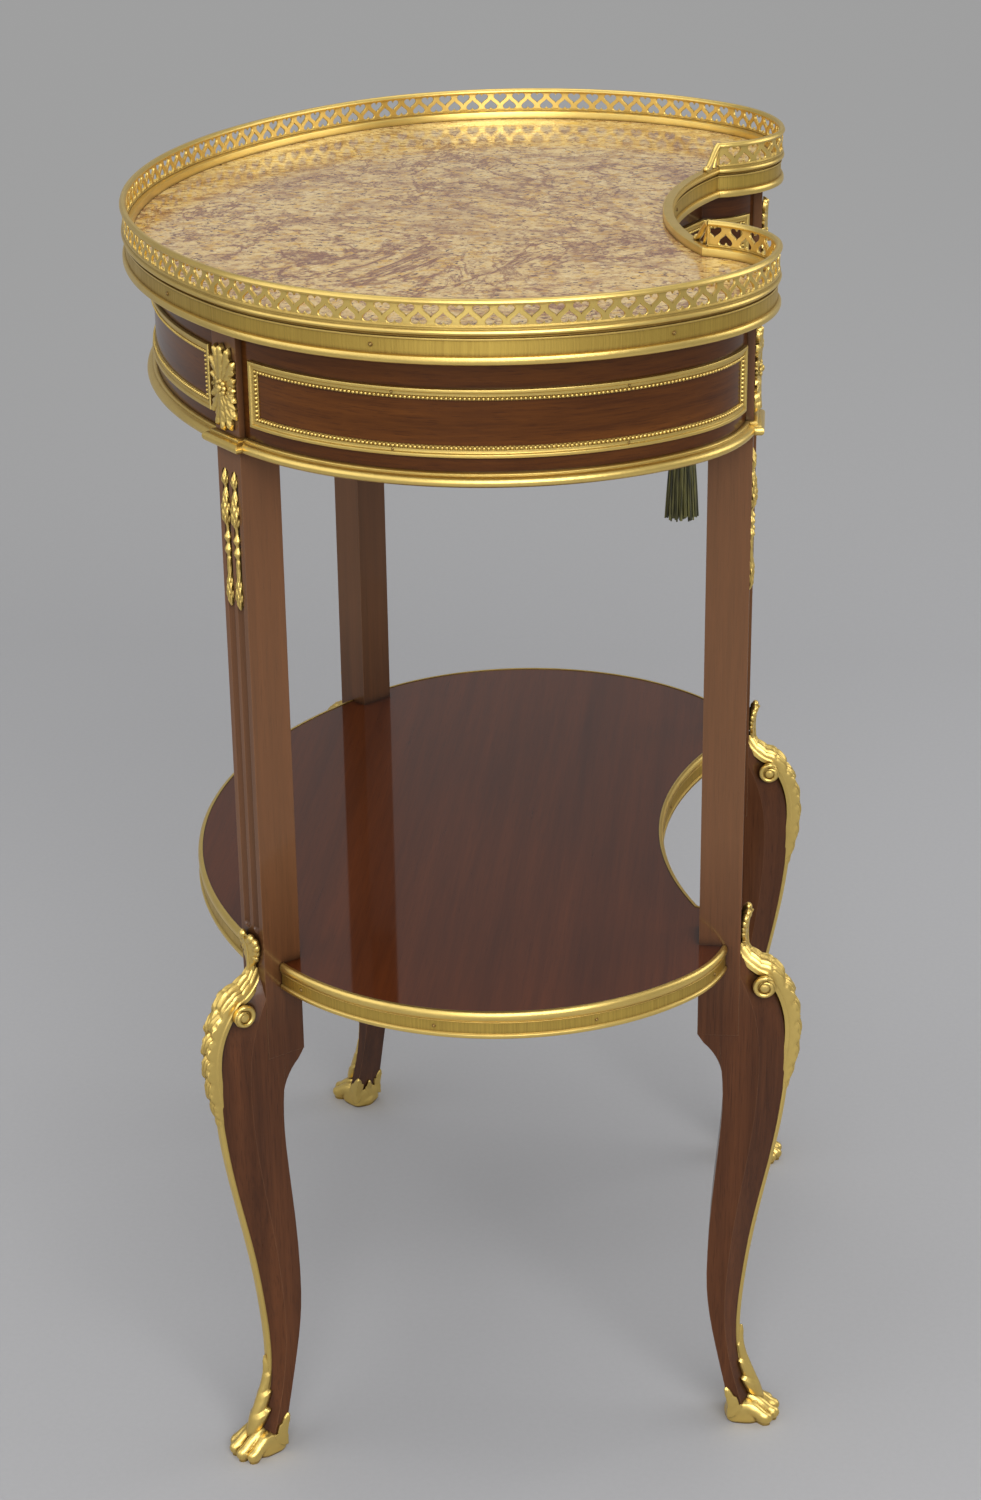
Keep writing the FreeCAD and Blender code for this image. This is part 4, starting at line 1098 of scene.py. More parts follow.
    def ramp(self, draft: Draft, sign: int, inset: float) -> None:
        """Rail that swoops down onto the rim of the notch and ends in a ball.

        Args:
            draft: Mesh that takes it.
            sign: Side of the notch.
            inset: Inset of the wall's middle.
        """
        notch = TOP_PLAN.arcs(inset)[-1].trace(self.ramp_step)
        line = notch[::-1] if sign > 0 else notch
        away = np.concatenate(([0], np.cumsum(np.linalg.norm(np.diff(line, axis=0), axis=1))))
        share = np.linspace(0, 1, self.ramp_rows)
        x, y = (np.interp(share * self.ramp_run, away, line[:, k]) for k in (0, 1))
        straight, eased = self.ramp_mix
        swoop = straight * share + eased * ease(share)
        fall = (self.head - self.foot - self.ramp_rest) * swoop
        path = np.column_stack((x, y, self.head - self.ramp_drop - fall))
        tube(draft, path, np.linspace(*self.ramp_radii, len(path)), sides=12)
        ball(draft, path[-1] + np.array([0, 0, self.ball_lift]), self.ball_radius, rings=12)
        for near, far, drop in self.struts:
            ends = (x[far], y[far], self.foot), (x[near], y[near], self.rail_foot - drop)
            tube(draft, np.linspace(*ends, self.strut_rows), np.full(self.strut_rows, self.strut_radius))


def inside_outline(points: Points, outline: Points) -> Points:
    """Whether each point lies inside a closed outline."""
    x, y = points[:, :1], points[:, 1:]
    ax, ay = outline[:, 0], outline[:, 1]
    bx, by = np.roll(ax, -1), np.roll(ay, -1)
    spans = (ay > y) != (by > y)
    with np.errstate(divide="ignore", invalid="ignore"):
        left = x < (bx - ax) * (y - ay) / (by - ay) + ax
    return (spans & left).sum(1) % 2 == 1


def tube(draft: Draft, path: Points, radii: Points, sides: int = 8) -> None:
    """Round bar along a path.

    Args:
        draft: Mesh that takes it.
        path: Points of its middle line.
        radii: Radius at each point.
        sides: Number of sides.
    """
    ahead = headings(path)
    start = np.array([0.0, 0.0, 1.0]) if abs(ahead[0, 2]) < 0.9 else np.array([1.0, 0.0, 0.0])
    rows = []
    turn = circle(sides)
    for point, way, radius in zip(path, ahead, radii):
        start = start - way * (start @ way)
        start /= np.linalg.norm(start)
        other = np.cross(way, start)
        rows.append(point + radius * (np.cos(turn)[:, None] * start + np.sin(turn)[:, None] * other))
    draft.skin(rows)


BALL_POLE = 0.02


def ball(draft: Draft, centre: Points | Triple, radius: float | Triple, rings: int = 8) -> None:
    """Ball or egg shape.

    Args:
        draft: Mesh that takes it.
        centre: Its middle.
        radius: Radius, or one for each axis.
        rings: Number of rings from pole to pole.
    """
    polar = np.linspace(BALL_POLE, math.pi - BALL_POLE, rings)[:, None]
    turn = circle(2 * rings)[None]
    axes = np.sin(polar) * np.cos(turn), np.sin(polar) * np.sin(turn), np.cos(polar)
    unit = np.stack(np.broadcast_arrays(*axes), -1)
    draft.skin(np.asarray(centre) + unit * np.asarray(radius, float))


def ease(share: Points) -> Points:
    """Share of a way that starts and ends slowly."""
    return 3 * share**2 - 2 * share**3


def smooth(knots: Points, count: int) -> Points:
    """Points along an easy curve through the given ones.

    Args:
        knots: Points that the curve passes, one row each.
        count: Number of points returned.

    Returns:
        The curve's points.
    """
    knots = np.asarray(knots, float)
    slope = np.gradient(knots, axis=0)
    place = np.linspace(0, len(knots) - 1, count)
    k = np.minimum(place.astype(int), len(knots) - 2)
    t = (place - k)[:, None]
    way = ease(t)
    return (1 - way) * knots[k] + way * knots[k + 1] + t * (1 - t) * ((1 - t) * slope[k] - t * slope[k + 1])


@dataclass(frozen=True)
class Leaf:
    """Serrated leaf drawn flat, foot to tip."""

    length: float
    half_width: float
    shares: tuple[float, ...] = (0.4, 0.75, 1.0, 0.95, 0.7, 0.05)
    lobes: int = 4
    notch: float = 0.32
    relief: float = 1.6
    base: float = 0.4
    curl: float = 0.0
    seat: float = -0.3
    keel: tuple[float, ...] = (0.0, 0.0)
    lobe_rows: int = 10
    columns: int = 13
    thickness: float = 0.8
    undercut: float = 0.94
    spine_rows: int = 60
    edge_sweep: float = 0.5
    edge_fall: float = 0.75
    vein_lag: float = 0.7
    vein_relief: float = 0.55
    tip_slope: float = 8.0
    tip_rise: float = 0.35

    def net(self) -> tuple[Points, Points, Points]:
        """Places along, across and above the flat leaf, front then back."""
        rows = self.lobe_rows * self.lobes + 1
        u = np.linspace(0, 1, rows)[:, None]
        v = np.linspace(-1, 1, self.columns)[None]
        edge = np.abs(v)
        tooth = (u * self.lobes) % 1.0
        tooth[-1] = 1.0
        wide = smooth(np.array(self.shares)[:, None], rows) * self.half_width * (1 - self.notch * (1 - tooth))
        along = self.length * np.minimum(u + self.edge_sweep / self.lobes * edge**1.5 * (1 - u), 1)
        vein = np.cos(FULL_TURN * (u * self.lobes - self.vein_lag * edge)) * edge * (1 - edge)
        form = 1 - self.edge_fall * edge**1.4 + self.vein_relief * vein
        rise = self.base + self.relief * form + self.curl * u**4
        rise = rise * np.minimum(1, (1 - u) * self.tip_slope + self.tip_rise)
        rise = rise + smooth(np.array(self.keel)[:, None], rows) * (1 - edge**1.5)
        below = np.minimum(rise - self.thickness, self.seat + self.curl * u**4)
        front = [along + 0 * v, v * wide, rise]
        back = [front[0], front[1] * self.undercut, below]
        return tuple(np.hstack((over, under[:, ::-1])) for over, under in zip(front, back))

    def spread(self, draft: Draft, origin: Points, way: float) -> None:
        """Lay the leaf on a post's face from its foot, turned from upright towards the side."""
        along, side, rise = self.net()
        c, s = math.cos(way), math.sin(way)
        across, up = origin[1] + along * s + side * c, origin[2] + along * c - side * s
        draft.skin(np.stack((origin[0] + rise, across, up), -1))

    def follow(self, draft: Draft, spine: Points) -> None:
        """Bend the leaf along a spine in the leg's middle plane.

        Args:
            draft: Mesh that takes it.
            spine: Knots of the spine as (outwards, height).
        """
        along, side, rise = self.net()
        path = smooth(spine, self.spine_rows)
        ahead = headings(path)
        share = np.linspace(0, self.length, len(path))
        place = [np.interp(along, share, path[:, k]) for k in (0, 1)]
        tangent = [np.interp(along, share, ahead[:, k]) for k in (0, 1)]
        draft.skin(np.stack((place[0] + tangent[1] * rise, side, place[1] - tangent[0] * rise), -1))


class LegSkin:
    """Surface of a leg's solid, for mounts that hug it."""

    FOOT_LIFT = 0.5
    MIDDLE_REACH = 90.0
    SKIN_REACH = 60.0
    WRAP_RADIUS = 11.0

    def __init__(self, leg: LegPlace) -> None:
        """Take the solid of one leg."""
        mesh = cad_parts["leg_" + leg.name].data
        points = np.array([tuple(v.co) for v in mesh.vertices]) / MM
        local = np.column_stack((leg.local(points[:, :2]), points[:, 2]))
        self.foot = local[:, 2].min() + self.FOOT_LIFT
        self.tree = BVHTree.FromPolygons(local.tolist(), [tuple(face.vertices) for face in mesh.polygons])

    def middle(self, height: float) -> float:
        """Middle of the leg at a height, outwards from its axis."""
        far = self.MIDDLE_REACH
        ends = [self.tree.ray_cast((way * far, 0.0, height), (-way, 0.0, 0.0))[0] for way in (-1, 1)]
        return (ends[0][0] + ends[1][0]) / 2

    def around(self, height: float, angle: float, out: float) -> Triple:
        """Point beside the leg.

        Args:
            height: Height of the point.
            angle: Angle round the leg's middle from straight outwards.
            out: Distance from the surface.

        Returns:
            The point in the leg's frame.
        """
        level = max(height, self.foot)
        n = self.middle(level)
        c, s = math.cos(angle), math.sin(angle)
        start = (n + self.SKIN_REACH * c, self.SKIN_REACH * s, level)
        hit = self.tree.ray_cast(start, (-c, -s, 0.0))[0]
        reach = math.hypot(hit[0] - n, hit[1]) + out
        return n + reach * c, reach * s, height

    def wrap(self, draft: Draft, leaf: Leaf, foot: float, angle: float) -> None:
        """Wrap an upright leaf round the leg.

        Args:
            draft: Mesh that takes it.
            leaf: Leaf that is wrapped.
            foot: Height of its foot.
            angle: Angle of its middle round the leg.
        """
        along, side, rise = leaf.net()
        net = np.empty((*along.shape, 3))
        for spot in np.ndindex(along.shape):
            net[spot] = self.around(foot + along[spot], angle + side[spot] / self.WRAP_RADIUS, rise[spot])
        draft.skin(net)


@dataclass(frozen=True)
class PostMount:
    """Gilt rosette with leaves fanning up and down on each post."""

    middle: float = 704.3
    seat: float = 12.4
    fan: tuple[tuple[float, ...], ...] = (
        (90, 12.0, 4.0, 0.0), (62, 14.0, 4.4, 0.2), (37, 20.5, 5.0, 0.5), (17, 24.5, 5.0, 0.9),
        (0, 25.0, 4.6, 1.5))
    leaf_base: float = 0.5
    petals: int = 8
    petal_ring: float = 3.5
    petal_seat: float = 3.0
    petal_radii: Triple = (1.4, 1.7, 1.7)
    button_seat: float = 3.6
    button_radii: Triple = (1.9, 2.3, 2.3)

    def build(self, finishes: Finishes) -> None:
        """Make the four mounts in the table's gilding."""
        dress = finishes.gilding(Body.CARCASS, Metal.GILT)
        place_on_legs("acanthus", "post_leaf", self.rosette(), dress, sharp=40)

    def rosette(self) -> Draft:
        """Leaves and flower in the leg's frame."""
        draft = Draft()
        foot = (self.seat, 0.0, self.middle)
        for turn, length, half, lift in self.fan:
            leaf = Leaf(length, half, notch=0.4, relief=1.9, base=self.leaf_base + lift, curl=1.0)
            for way in {turn, -turn, 180 - turn, 180 + turn}:
                leaf.spread(draft, foot, math.radians(way))
        ring = self.petal_ring
        for k in range(self.petals):
            way = FULL_TURN * k / self.petals
            centre = (self.seat + self.petal_seat, ring * math.sin(way), self.middle + ring * math.cos(way))
            ball(draft, centre, self.petal_radii)
        ball(draft, (self.seat + self.button_seat, 0.0, self.middle), self.button_radii, rings=10)
        return draft


@dataclass(frozen=True)
class FluteHusks:
    """Pairs of gilt husks in the heads of the flutes."""

    top: float = 656.6
    axis: float = 12.3
    spacing: float = 10.0
    turned: tuple[Pair, ...] = (
        (0.2, 0), (1.3, 2.4), (2.3, 5.8), (1.9, 8.6), (0.9, 11), (1.6, 13.6), (2.6, 19), (3.2, 25.5),
        (2.7, 30.5), (1.2, 34), (1.1, 37.5), (2.6, 40.8), (1.2, 44.4), (2.6, 48.2), (1.3, 51.6), (1.6, 54.4),
        (1.6, 63), (2.1, 67), (2.6, 73), (2.1, 78.5), (1.0, 81.5), (0.2, 82.5))
    least_radius: float = 0.15
    rings_middle: float = 44.5
    rings_reach: float = 8.0
    ribs: int = 6
    twist: float = 0.42
    leafy_from: float = 1.2
    leafy_over: float = 0.8
    rib_relief: float = 0.34
    rib_sink: float = 0.2
    rows: int = 190
    sides: int = 48

    def build(self, finishes: Finishes) -> None:
        """Make all eight husks as one piece in the table's gilding."""
        dress = finishes.gilding(Body.CARCASS, Metal.GILT)
        draft = Draft()
        for leg in LEGS:
            for sign in (-1, 1):
                one = Draft()
                one.skin(self.husk(sign * self.spacing / 2))
                placed = one.at(leg)
                draft.add(placed.points[0], placed.faces)
        place_piece("husk_drops", draft.mesh("husk_drops", sharp=50), dress, "flute_husks")

    def husk(self, side: float) -> Points:
        """Net of one husk, ribbed where it is leafy.

        Args:
            side: Distance of its axis from the leg's middle.

        Returns:
            Rows of points from the top.
        """
        line = smooth(np.array(self.turned), self.rows)
        turn = circle(self.sides)[None]
        radius, drop = np.maximum(line[:, :1], self.least_radius), line[:, 1:]
        leafy = np.clip((radius - self.leafy_from) / self.leafy_over, 0, 1)
        leafy = leafy * (np.abs(drop - self.rings_middle) > self.rings_reach)
        left, right = (np.abs(np.sin(self.ribs / 2 * turn + way * self.twist * drop)) for way in (-1, 1))
        reach = radius * (1 + leafy * (self.rib_relief * np.sqrt(left * right) - self.rib_sink))
        x, y = self.axis + reach * np.cos(turn), side + reach * np.sin(turn)
        return np.stack((x, y, self.top - drop + 0 * turn), -1)


@dataclass(frozen=True)
class Cascade:
    """Ridge of leaves over a knee, ribbed above and lobed below, with a plain band down each side.

    The ridge is given as (outwards, height, half width).
    """

    ridge: tuple[Triple, ...] = (
        (14.4, 347, 4.4), (18.2, 340.5, 5.8), (25.0, 335.0, 7.6), (33.0, 331.0, 8.2), (41.4, 318.5, 7.0),
        (46.6, 303, 5.2), (48.4, 287, 4.3), (47.4, 269, 3.8), (44.6, 254, 3.4), (42.6, 243, 3.2))
    leafy: float = 0.74
    crown: float = 3.8
    side_depth: float = 7.4
    flank_spread: float = 0.1
    flank_slope: float = 6.0
    columns: int = 61
    relief: float = 3.0
    swell: Pair = (0.88, 0.12)
    swell_power: float = 0.6
    lobes: int = 10
    lobe_rows: int = 18
    lobe_lag: float = 0.5
    lobe_power: float = 0.55
    lobes_from: float = 0.36
    lobes_over: float = 0.12
    knob: float = 0.6
    knob_lag: float = 0.8
    knob_place: float = 0.66
    knob_width: float = 0.2
    vein: float = 0.16
    veins: int = 7
    rib: float = 0.6
    ribs: float = 2.5
    rib_power: float = 0.7
    rib_lumps: float = 0.3
    fine_rib: float = 0.12
    fine_ribs: int = 9
    groove: float = 0.6
    groove_shift: float = 0.03
    groove_width: float = 0.035

    def draw(self, draft: Draft) -> None:
        """Add the ridge to a mesh in the leg's frame."""
        rows = self.lobe_rows * self.lobes + 1
        line = smooth(np.array(self.ridge), rows)
        path, half = line[:, :2], line[:, 2:]
        ahead = headings(path)
        inward = np.column_stack((ahead[:, 1], -ahead[:, 0]))
        share = np.linspace(0, 1, rows)[:, None]
        c = np.linspace(-1, 1, self.columns)[None]
        top = np.minimum(np.abs(c) / self.leafy, 1)
        flank = np.maximum(np.abs(c) - self.leafy, 0) / (1 - self.leafy)
        turn = top * math.pi / 2
        spread = self.flank_spread * np.minimum(flank * self.flank_slope, 1)
        side = np.sign(c) * half * (np.sin(turn) + spread)
        off_groove = (np.abs(c) - self.leafy - self.groove_shift) / self.groove_width
        bump = self.leaves(share, top) - self.groove * np.exp(-(off_groove**2))
        depth = self.crown * (1 - np.cos(turn)) + flank * (self.side_depth - self.crown) - bump
        out, height = (path[:, k:k + 1] + inward[:, k:k + 1] * depth for k in (0, 1))
        draft.skin(np.stack((out, side, height), -1))

    def leaves(self, share: Points, top: Points) -> Points:
        """Relief of the leaves.

        Args:
            share: Place along the ridge, from 0 at its head to 1 at its foot.
            top: Place across it, from 0 on the crest to 1 at the edge of the leaves.

        Returns:
            Height above the plain ridge.
        """
        phase = share * self.lobes - self.lobe_lag * top
        wave = FULL_TURN * phase
        lump = np.abs(np.sin(math.pi * phase)) ** self.lobe_power
        spot = np.exp(-(((top - self.knob_place) / self.knob_width) ** 2))
        knobs = self.knob * np.abs(np.sin(wave + self.knob_lag)) * spot
        knobs = knobs + self.vein * np.cos(self.veins * math.pi * top + wave)
        ribs = self.rib * np.abs(np.cos(self.ribs * math.pi * top)) ** self.rib_power
        ribs = ribs + self.rib_lumps * lump + self.fine_rib * np.cos(self.fine_ribs * math.pi * top)
        lower = np.clip((share - self.lobes_from) / self.lobes_over, 0, 1)
        run, start = self.swell
        swell = self.relief * np.sin(math.pi * np.clip(share * run + start, 0, 1)) ** self.swell_power
        return swell * (1 - top**6) * (lower * (lump + knobs) + (1 - lower) * ribs)


@dataclass(frozen=True)
class Volutes:
    """Barrel across a knee with a spiral and a button on each end."""

    eye: Pair = (28.0, 320.5)
    radius: float = 7.2
    face: float = 12.6
    barrel: tuple[Pair, ...] = ((12.6, 0.84), (12.2, 0.9), (9.5, 0.84), (6.0, 0.8))
    barrel_sides: int = 40
    start: float = 50.0
    turns: float = 1.15
    rows: int = 70
    reach: float = 0.96
    shrink: float = 0.5
    arm: float = 1.9
    arm_taper: float = 0.35
    arm_start: float = 0.2
    arm_swell: float = 9.0
    button: Triple = (3.4, 1.3, 3.4)

    def draw(self, draft: Draft) -> None:
        """Add the barrel, the spirals and the buttons to a mesh in the leg's frame."""
        rings = [*self.barrel, *((-side, share) for side, share in reversed(self.barrel))]
        turn = circle(self.barrel_sides)
        draft.skin([self.around(turn, self.radius * share, side) for side, share in rings])
        wind = np.linspace(0, 1, self.rows)
        angle = math.radians(self.start) + wind * self.turns * FULL_TURN
        radius = self.radius * (self.reach - self.shrink * wind)
        arms = self.arm * (1 - self.arm_taper * wind) * np.minimum(1, self.arm_start + self.arm_swell * wind)
        for sign in (-1, 1):
            tube(draft, self.around(angle, radius, sign * self.face), arms, sides=10)
            ball(draft, (self.eye[0], sign * self.face, self.eye[1]), self.button, rings=12)

    def around(self, angle: Points, radius: float | Points, side: float) -> Points:
        """Points round the eye, at a distance to the side."""
        out, height = self.eye[0] + radius * np.cos(angle), self.eye[1] + radius * np.sin(angle)
        return np.column_stack((out, np.full_like(angle, side), height))


@dataclass(frozen=True)
class Feather:
    """Leaf that climbs a post and curls out at its tip, with a rib and knobbed edges."""

    spine: tuple[Pair, ...] = (
        (15.2, 337), (14.0, 345), (13.6, 352), (13.9, 358.5), (15.0, 363.8), (16.8, 367.6))
    leaf: Leaf = Leaf(
        length=32.5, half_width=9.4, shares=(0.42, 0.5, 0.76, 0.98, 1.0, 0.92, 0.72), lobes=5, notch=0.2,
        relief=2.0, base=1.0)
    rib_rows: int = 24
    rib_lift: float = 2.6
    rib_radii: Pair = (1.3, 0.8)
    knobs: tuple[Pair, ...] = ((0.42, 4.6), (0.56, 6.3), (0.70, 7.3), (0.84, 7.0), (0.95, 4.6))
    knob_lift: float = 0.2
    knob_radii: Triple = (2.4, 2.8, 2.9)

    def draw(self, draft: Draft) -> None:
        """Add the leaf, its rib and its knobs to a mesh in the leg's frame."""
        self.leaf.follow(draft, np.array(self.spine))
        spine = smooth(np.array(self.spine), self.rib_rows)
        rib = np.column_stack((spine[:, 0] + self.rib_lift, 0 * spine[:, 0], spine[:, 1]))
        tube(draft, rib, np.linspace(*self.rib_radii, len(rib)), sides=8)
        for share, half in self.knobs:
            n, z = spine[round(share * (len(spine) - 1))]
            for sign in (-1, 1):
                ball(draft, (n + self.knob_lift, sign * half, z), self.knob_radii, rings=12)


@dataclass(frozen=True)
class KneeMount:
    """Leafy gilt mount over each knee, with a volute on each side and a leaf up the post."""

    parts: tuple[Cascade, Volutes, Feather] = (Cascade(), Volutes(), Feather())

    def build(self, finishes: Finishes) -> None:
        """Make the four mounts in the table's gilding."""
        dress = finishes.gilding(Body.CARCASS, Metal.GILT)
        draft = Draft()
        for part in self.parts:
            part.draw(draft)
        place_on_legs("chute", "knee_mount", draft, dress, sharp=55)


@dataclass(frozen=True)
class Sabot:
    """Gilt lion's paw under each leg, with leaves up the ankle."""

    axis: float = 21.0
    pads: tuple[tuple[float, ...], ...] = ((23.5, 0.0, 3.4, 14.0, 11.2, 8.2), (25.0, 0.0, 9.0, 7.5, 7.5, 8.0))
    fingers: tuple[tuple[tuple[float, ...], ...], ...] = (
        ((39.4, 3.9, 4.6, 5.0, 3.8, 4.8), (36.2, 3.9, 7.4, 4.6, 3.3, 3.6), (31.6, 3.7, 11.2, 5.0, 3.5, 4.2),
         (26.0, 3.2, 15.4, 4.4, 2.7, 3.4)),
        ((35.4, 9.8, 4.4, 5.0, 3.6, 4.6), (32.6, 9.6, 6.9, 4.6, 3.2, 3.5), (28.4, 8.8, 10.2, 5.0, 3.3, 4.0),
         (23.6, 7.2, 13.4, 4.4, 2.6, 3.2)))
    finger_rows: int = 13
    collar: Pair = (10.4, 12.3)
    collar_foot: float = 10.0
    collar_top: float = 15.4
    crest: float = 19.5
    collar_taper: float = 0.1
    sole: float = 3.0
    sole_rows: int = 5
    sole_tuck: float = 0.12
    tread: float = 1.5
    body_foot: float = 3.7
    body_rows: int = 28
    blend: float = 18.0
    least: float = 1e-9
    cuff_foot: float = 13.5
    cuff: Leaf = Leaf(
        length=55.5, half_width=11.5, shares=(1.0, 0.95, 0.8, 0.66, 0.52, 0.36, 0.05), notch=0.4,
        relief=0.8, base=1.2, keel=(6.0, 6.8, 6.0, 4.6, 3.0, 2.4, 3.2))
    heel_foot: float = 5.0
    heel_leaves: tuple[Triple, ...] = ((2.05, 22.5, 7.2), (-2.05, 22.5, 7.2), (math.pi, 17.0, 7.0))
    heel_shares: tuple[float, ...] = (1.0, 1.0, 0.9, 0.7, 0.42, 0.05)
    sides: int = 150

    def build(self, finishes: Finishes) -> None:
        """Make the four sabots in the table's gilding."""
        dress = finishes.gilding(Body.CARCASS, Metal.GILT)
        draft = Draft()
        draft.skin(self.paw())
        skin = LegSkin(LEGS[1])
        skin.wrap(draft, self.cuff, self.cuff_foot, 0.0)
        for way, length, half in self.heel_leaves:
            heel = Leaf(length, half, self.heel_shares, lobes=3, notch=0.3, relief=0.9, base=1.0)
            skin.wrap(draft, heel, self.heel_foot, way)
        place_on_legs("paw", "sabot", draft, dress, sharp=55)

    def paw(self) -> Points:
        """Net of the paw: the outermost reach of its collar, its pads and the eggs strung along its toes."""
        chain = [tuple(egg) for finger in self.fingers for egg in smooth(np.array(finger), self.finger_rows)]
        eggs = list(self.pads) + [(n, way * t, *rest) for n, t, *rest in chain for way in (-1, 1)]
        turn = circle(self.sides)
        c, s = np.cos(turn), np.sin(turn)
        collar = (np.abs(c / self.collar[0]) ** 4 + np.abs(s / self.collar[1]) ** 4) ** -0.25
        rows = []
        heights = (np.linspace(0, self.sole, self.sole_rows),
                   np.linspace(self.body_foot, self.crest, self.body_rows))
        for height in np.concatenate(heights):
            total = np.full_like(turn, self.least)
            risen = (height - self.collar_foot) / (self.collar_top - self.collar_foot)
            taper = self.collar_taper * np.clip(risen, 0, 1) ** 2
            tuck = self.sole_tuck * max(0, 1 - height / self.sole) ** 2
            if height < self.collar_top:
                total += (collar * (1 - taper - tuck)) ** self.blend
            for n, t, z, wide, broad, tall in eggs:
                level = 1 - ((max(height, self.tread) - z) / tall) ** 2
                away = self.axis - n
                a = (c / wide) ** 2 + (s / broad) ** 2
                b = away * c / wide**2 - t * s / broad**2
                inside = b**2 - a * ((away / wide) ** 2 + (t / broad) ** 2 - level)
                reach = np.where((inside > 0) & (level > 0), (np.sqrt(np.maximum(inside, 0)) - b) / a, 0)
                total += np.maximum(reach, 0) ** self.blend
            reach = total ** (1 / self.blend)
            rows.append(np.column_stack((self.axis + reach * c, reach * s, np.full_like(turn, height))))
        return np.array(rows)


@dataclass(frozen=True)
class Frieze:
    """Gilt mouldings and beaded frames on the frieze."""

    inset: float = 17.0
    step: float = 1.2
    foot: float = 669.8
    moulding_height: float = 7.7
    relief: float = 6.2
    moulding_shares: tuple[Pair, ...] = (
        (0.0, 0.0), (0.5, 0.0), (0.74, 0.05), (0.9, 0.15), (0.98, 0.28), (1.0, 0.4), (0.96, 0.53),
        (0.85, 0.65), (0.66, 0.74), (0.46, 0.77), (0.42, 0.8), (0.42, 0.9), (0.36, 0.96), (0.24, 1.0),
        (0.0, 1.0))
    frame_foot: float = 685.5
    frame_height: float = 37.7
    frame_gap: float = 8.0
    frame_profile: tuple[Pair, ...] = (
        (0.0, 0.0), (0.0, 1.7), (0.35, 2.2), (1.1, 2.35), (1.9, 2.2), (2.25, 1.8), (2.5, 1.3), (3.3, 1.1),
        (4.1, 1.15), (4.35, 0.7), (6.2, 0.6), (6.5, 0.0))
    frame_step: float = 3.0
    frame_rows: int = 12
    bead_inset: float = 5.3
    bead_seat: float = 0.6
    bead_radius: float = 1.1
    bead_rise: float = 1.2
    bead_pitch: float = 2.46
    bead_sides: int = 8
    bead_angles: Triple = (90, 62, 32)
    pin_shares: Pair = (0.3, 0.7)
    pin_inset: float = 3.2
    pin_seat: float = 1.1
    pin_radius: float = 0.8

    def build(self, finishes: Finishes) -> None:
        """Make the base moulding and the four frames in the table's finishes."""
        sides = ("front", "right", "left", "back", "breaks")
        plain = finishes.gilding(Body.CARCASS, Metal.GILT)
        place_piece("base_moulding", self.moulding(), plain, *["frieze_moulding_" + side for side in sides])
        outline = TOP_PLAN.trace(self.inset, self.step)
        for side, line in between_legs(outline, self.frame_gap).items():
            body, node = (Body.DRAWER, "drawer") if side == "front" else (Body.CARCASS, side)
            dress = finishes.gilding(body, Metal.GILT, Metal.BRUSHED, Metal.PIN)
            place_piece("beaded_frame_" + side, self.beaded_frame(line), dress, "panel_frame_" + node)

    def moulding_line(self) -> Points:
        """Line of the frieze's face that steps out round each post."""
        outline = TOP_PLAN.trace(self.inset, self.step)
        owner = np.full(len(outline), -1)
        for k, leg in enumerate(LEGS):
            out, side = leg.local(outline).T
            owner[(np.abs(side) < HALF_LEG) & (out > -HALF_LEG)] = k
        line: list[Pair] = []
        for i, point in enumerate(outline):
            k = owner[i]
            if k < 0:
                line.append(tuple(point))
            elif owner[i - 1] < 0:
                leg = LEGS[k]
                seat = leg.local(point[None])[0, 0]
                stops = ((seat, -1), (HALF_LEG, -1), (HALF_LEG, 1), (seat, 1))
                line += [leg.world(out, side * HALF_LEG) for out, side in stops]
        return np.array(line)

    def moulding(self) -> Mesh:
        """Round base moulding with a fillet above it."""
        profile = [(out * self.relief, self.foot + rise * self.moulding_height)
                   for out, rise in self.moulding_shares]
        draft = Draft()
        Rail(self.moulding_line(), closed=True).sweep(draft, profile)
        return draft.mesh("base_moulding", sharp=35)

    def beaded_frame(self, line: Points) -> Mesh:
        """Frame with an outer fillet, a hollow and a row of beads.

        Args:
            line: Line of the frieze's face along the panel.

        Returns:
            The frame's mesh.
        """
        rail = Rail(line)
        run = rail.lengths[-1]
        low, high = self.frame_foot, self.frame_foot + self.frame_height
        level = np.linspace(0, run, round(run / self.frame_step) + 1)
        draft = Draft()
        nets = []
        for width, rise in self.frame_profile:
            x0, x1, z0, z1 = width, run - width, low + width, high - width
            flat = np.clip(level, x0, x1)
            upright = np.linspace(z0, z1, self.frame_rows + 2)[1:-1]
            x = np.concatenate((flat, np.full_like(upright, x1), flat[::-1], np.full_like(upright, x0)))
            z = np.concatenate((np.full_like(flat, z0), upright, np.full_like(flat, z1), upright[::-1]))
            nets.append(rail.at(x, rise, z))
        draft.grid(np.stack(nets), wrap_cols=True)
        self.bead_row(draft, rail)
        heights = (low + self.pin_inset, high - self.pin_inset)
        spots = [(share * run, height) for share in self.pin_shares for height in heights]
        pin_heads(draft, rail, spots, self.pin_seat, self.pin_radius)
        return draft.mesh("beaded_frame", sharp=35)

